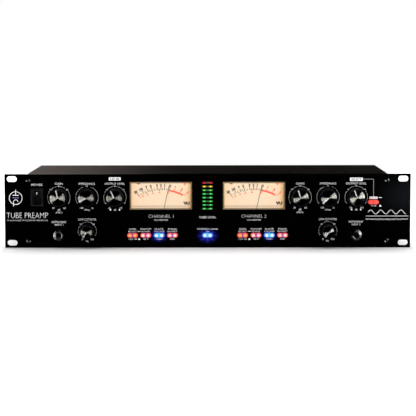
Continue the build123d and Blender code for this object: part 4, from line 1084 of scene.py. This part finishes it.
CAMERA_PLACE = (0.0070, -1.7917, 0.1774)
CAMERA_AIM = (0.0006, FACE_Y * MM, 0.0034)
CAMERA_LENS = 130.81
CAMERA_SENSOR = 36.0
CAMERA_ROLL = -0.0016


def flat_prop(name, corners, material, unseen_by):
    """A flat four-cornered stage prop that some kinds of ray pass by."""
    bm = bmesh.new()
    bm.faces.new([bm.verts.new(corner) for corner in corners])
    prop = mesh_object(name, bm, material)
    for ray in unseen_by:
        setattr(prop, "visible_" + ray, False)
    return prop


def stage_floor():
    """A pale sheet under the object, with painted light that keeps it white far in front of the object and
    beside it, over the shadow that falls there.
    """
    z = CAD_BOX[0][2]
    paper = grained("floor_paper", (0.86, 0.86, 0.86), (0.88, 0.88, 0.88), (0.85, 0.95), grain=400.0,
                    bump=0.05, Specular_IOR_Level=0.1, Emission_Color=WHITE)
    place = paper.axes()
    # Painted light: emission in front of and beside the object, over its shadow on the floor.
    before = paper.spread(place["Y"], 1.0, 0.0, *FRONT_PAINTED_LIGHT)
    beside = paper.spread(paper.maths("ABSOLUTE", place["X"]), 0.0, SIDE_PAINTED_LIGHT_LEVEL, *SIDE_PAINTED_LIGHT)
    paper.shade({"Emission Strength": paper.maths("ADD", before, beside)})
    front = [(-FLOOR_X, FLOOR_FRONT, z), (FLOOR_X, FLOOR_FRONT, z)]
    rear = [(FLOOR_X, FLOOR_REAR, z), (-FLOOR_X, FLOOR_REAR, z)]
    flat_prop("floor", front + rear, paper.material, ["glossy"])


def light_finish(name):
    """An empty finish for a prop that shines without being sampled as a lamp."""
    finish = Finish(name)
    finish.nodes.clear()
    finish.material.cycles.emission_sampling = "NONE"
    return finish


def emitter(name, colour, strength, fade=None):
    """Light of a studio card. It dims to nothing along X from fade's start to its stop."""
    finish = light_finish(name)
    if fade:
        strength = finish.spread(finish.axes()["X"], strength, 0.0, *fade)
    light = finish.add("Emission", {"Color": (*colour, 1), "Strength": strength})
    finish.add("OutputMaterial", {"Surface": light.outputs["Emission"]})
    return finish.material


def card(name, corners, material):
    """A card that only shows as a reflection."""
    flat_prop(name, corners, material, ["camera", "diffuse", "shadow", "transmission"])


def upright(x, y, low, high, turn):
    """Corners of an upright card centred on (x, y), its face turned about the vertical."""
    across = Vector((math.cos(math.radians(turn)), math.sin(math.radians(turn)))) * CARD_HALF
    return [(x - across.x, y - across.y, low), (x + across.x, y + across.y, low),
            (x + across.x, y + across.y, high), (x - across.x, y - across.y, high)]


def reflections():
    """Cards beside, in front of and behind the object, and a black flag that parts the two sides."""
    for side, sign, level, low, high in FRONT_CARDS:
        corners = upright(sign * CARD_X, CARD_Y, low, high, sign * 45)
        card(side + "_card", corners, emitter(side + "_card_light", WARM_LIGHT, level))
    black = Finish("flag_black", {"Base Color": (0, 0, 0, 1), "Roughness": 1.0, "Specular IOR Level": 0.0})
    card("middle_flag", [(0, -0.05, -0.6), (0, -1.4, -0.6), (0, -1.4, 1.0), (0, -0.05, 1.0)], black.material)
    for side, sign in SIDES:
        corners = upright(sign * BACK_CARD_X, BACK_CARD_Y, -0.1, 0.3, sign * -45)
        card(f"rear_{side}_card", corners, emitter(f"rear_{side}_light", WARM_LIGHT, BACK_CARDS))
    card("blue_card", rectangle(0.262, 0.325, -0.5, -0.046, -0.007),
         emitter("blue_card_light", (0.72, 0.88, 1.0), BLUE_CARD, (0.330, 0.250)))
    card("rear_card", rectangle(-1.6, 0.3, 1.3, 0.0, 0.6),
         emitter("rear_card_light", (1.0, 0.84, 0.78), REAR_CARD, (-0.60, -0.10)))


def glare_light(name, radius, strength):
    """Light that falls off from a button's middle and is stronger along eight rays."""
    finish = light_finish(name)
    flat = finish.vector("MULTIPLY", finish.position(), (0.72, 0.0, 1.0))
    level = finish.spread(finish.measure("LENGTH", flat), 1, 0, 0.0022, radius * MM, way="SMOOTHSTEP")
    axes = finish.axes(flat)
    bearing = finish.maths("ARCTAN2", axes["Z"], axes["X"])
    rays = finish.maths("COSINE", finish.maths("MULTIPLY", bearing, 8.0))
    uneven = finish.spread(rays, strength * 0.3, strength, -1, 1)
    level = finish.maths("MULTIPLY", finish.maths("POWER", level, 1.8), uneven)
    light = finish.add("Emission", {"Color": (*GLARE_COLOUR, 1), "Strength": level})
    clear = finish.add("BsdfTransparent")
    both = finish.add("AddShader", {0: light.outputs["Emission"], 1: clear.outputs["BSDF"]})
    finish.add("OutputMaterial", {"Surface": both.outputs["Shader"]})
    return finish.material


def button_glare():
    """The glare of the blue buttons: staged films of light just off the panel."""
    for node, radius, strength in GLARE:
        name = node + "_glare"
        half_w, half_h = radius * 1.4 * MM, radius * MM
        corners = rectangle(-half_w, half_w, 0, -half_h, half_h)
        light = glare_light(name, radius, strength)
        film = flat_prop(name, corners, light, ["glossy", "diffuse", "shadow"])
        middle = centre(node)
        film.location = (middle.x * MM, (FACE_Y - GLARE_GAP) * MM, (middle.z - GLARE_DROP) * MM)


def set_world():
    """White behind everything, but no light from it."""
    world = bpy.data.worlds.new("studio")
    world.use_nodes = True
    background = world.node_tree.nodes["Background"]
    background.inputs["Color"].default_value = WHITE
    background.inputs["Strength"].default_value = 1.0
    bpy.context.scene.world = world
    world.cycles_visibility.glossy = False
    world.cycles_visibility.diffuse = False


def area_light(name, place, target, size, power):
    """A soft rectangular light that leaves no reflection."""
    data = bpy.data.lights.new(name, "AREA")
    data.shape = "RECTANGLE"
    data.size, data.size_y = size
    data.energy = power
    lamp = new_object(name, data)
    lamp.location = place
    lamp.rotation_euler = (Vector(target) - Vector(place)).to_track_quat("-Z", "Y").to_euler()
    lamp.visible_camera = False
    lamp.visible_glossy = False


def set_camera():
    """A little above the object, in front of its middle."""
    data = bpy.data.cameras.new("camera")
    data.sensor_width = CAMERA_SENSOR
    data.lens = CAMERA_LENS
    camera = new_object("camera", data)
    camera.location = CAMERA_PLACE
    turn = (Vector(CAMERA_AIM) - camera.location).to_track_quat("-Z", "Y")
    camera.rotation_euler = (turn @ Quaternion((0, 0, 1), CAMERA_ROLL)).to_euler()
    bpy.context.scene.camera = camera


dress_frame()
build_knobs()
build_meters()
build_lamps()
build_buttons()
build_nuts()
build_screws()
build_printing()
build_rocker_mark()
stage_floor()
reflections()
button_glare()
set_world()
area_light("overhead", (0, 0.55, 1.5), (0, 0.55, 0), (3.2, 2.4), OVERHEAD_POWER)
area_light("front_fill", (0, -2.3, 0.16), (0, 0, 0), (1.4, 0.25), FILL_POWER)
area_light("rear_fill", (0, 2.4, 0.55), (0, 0, 0), (1.4, 0.25), FILL_POWER)
set_camera()
bpy.context.scene.view_settings.view_transform = "Standard"
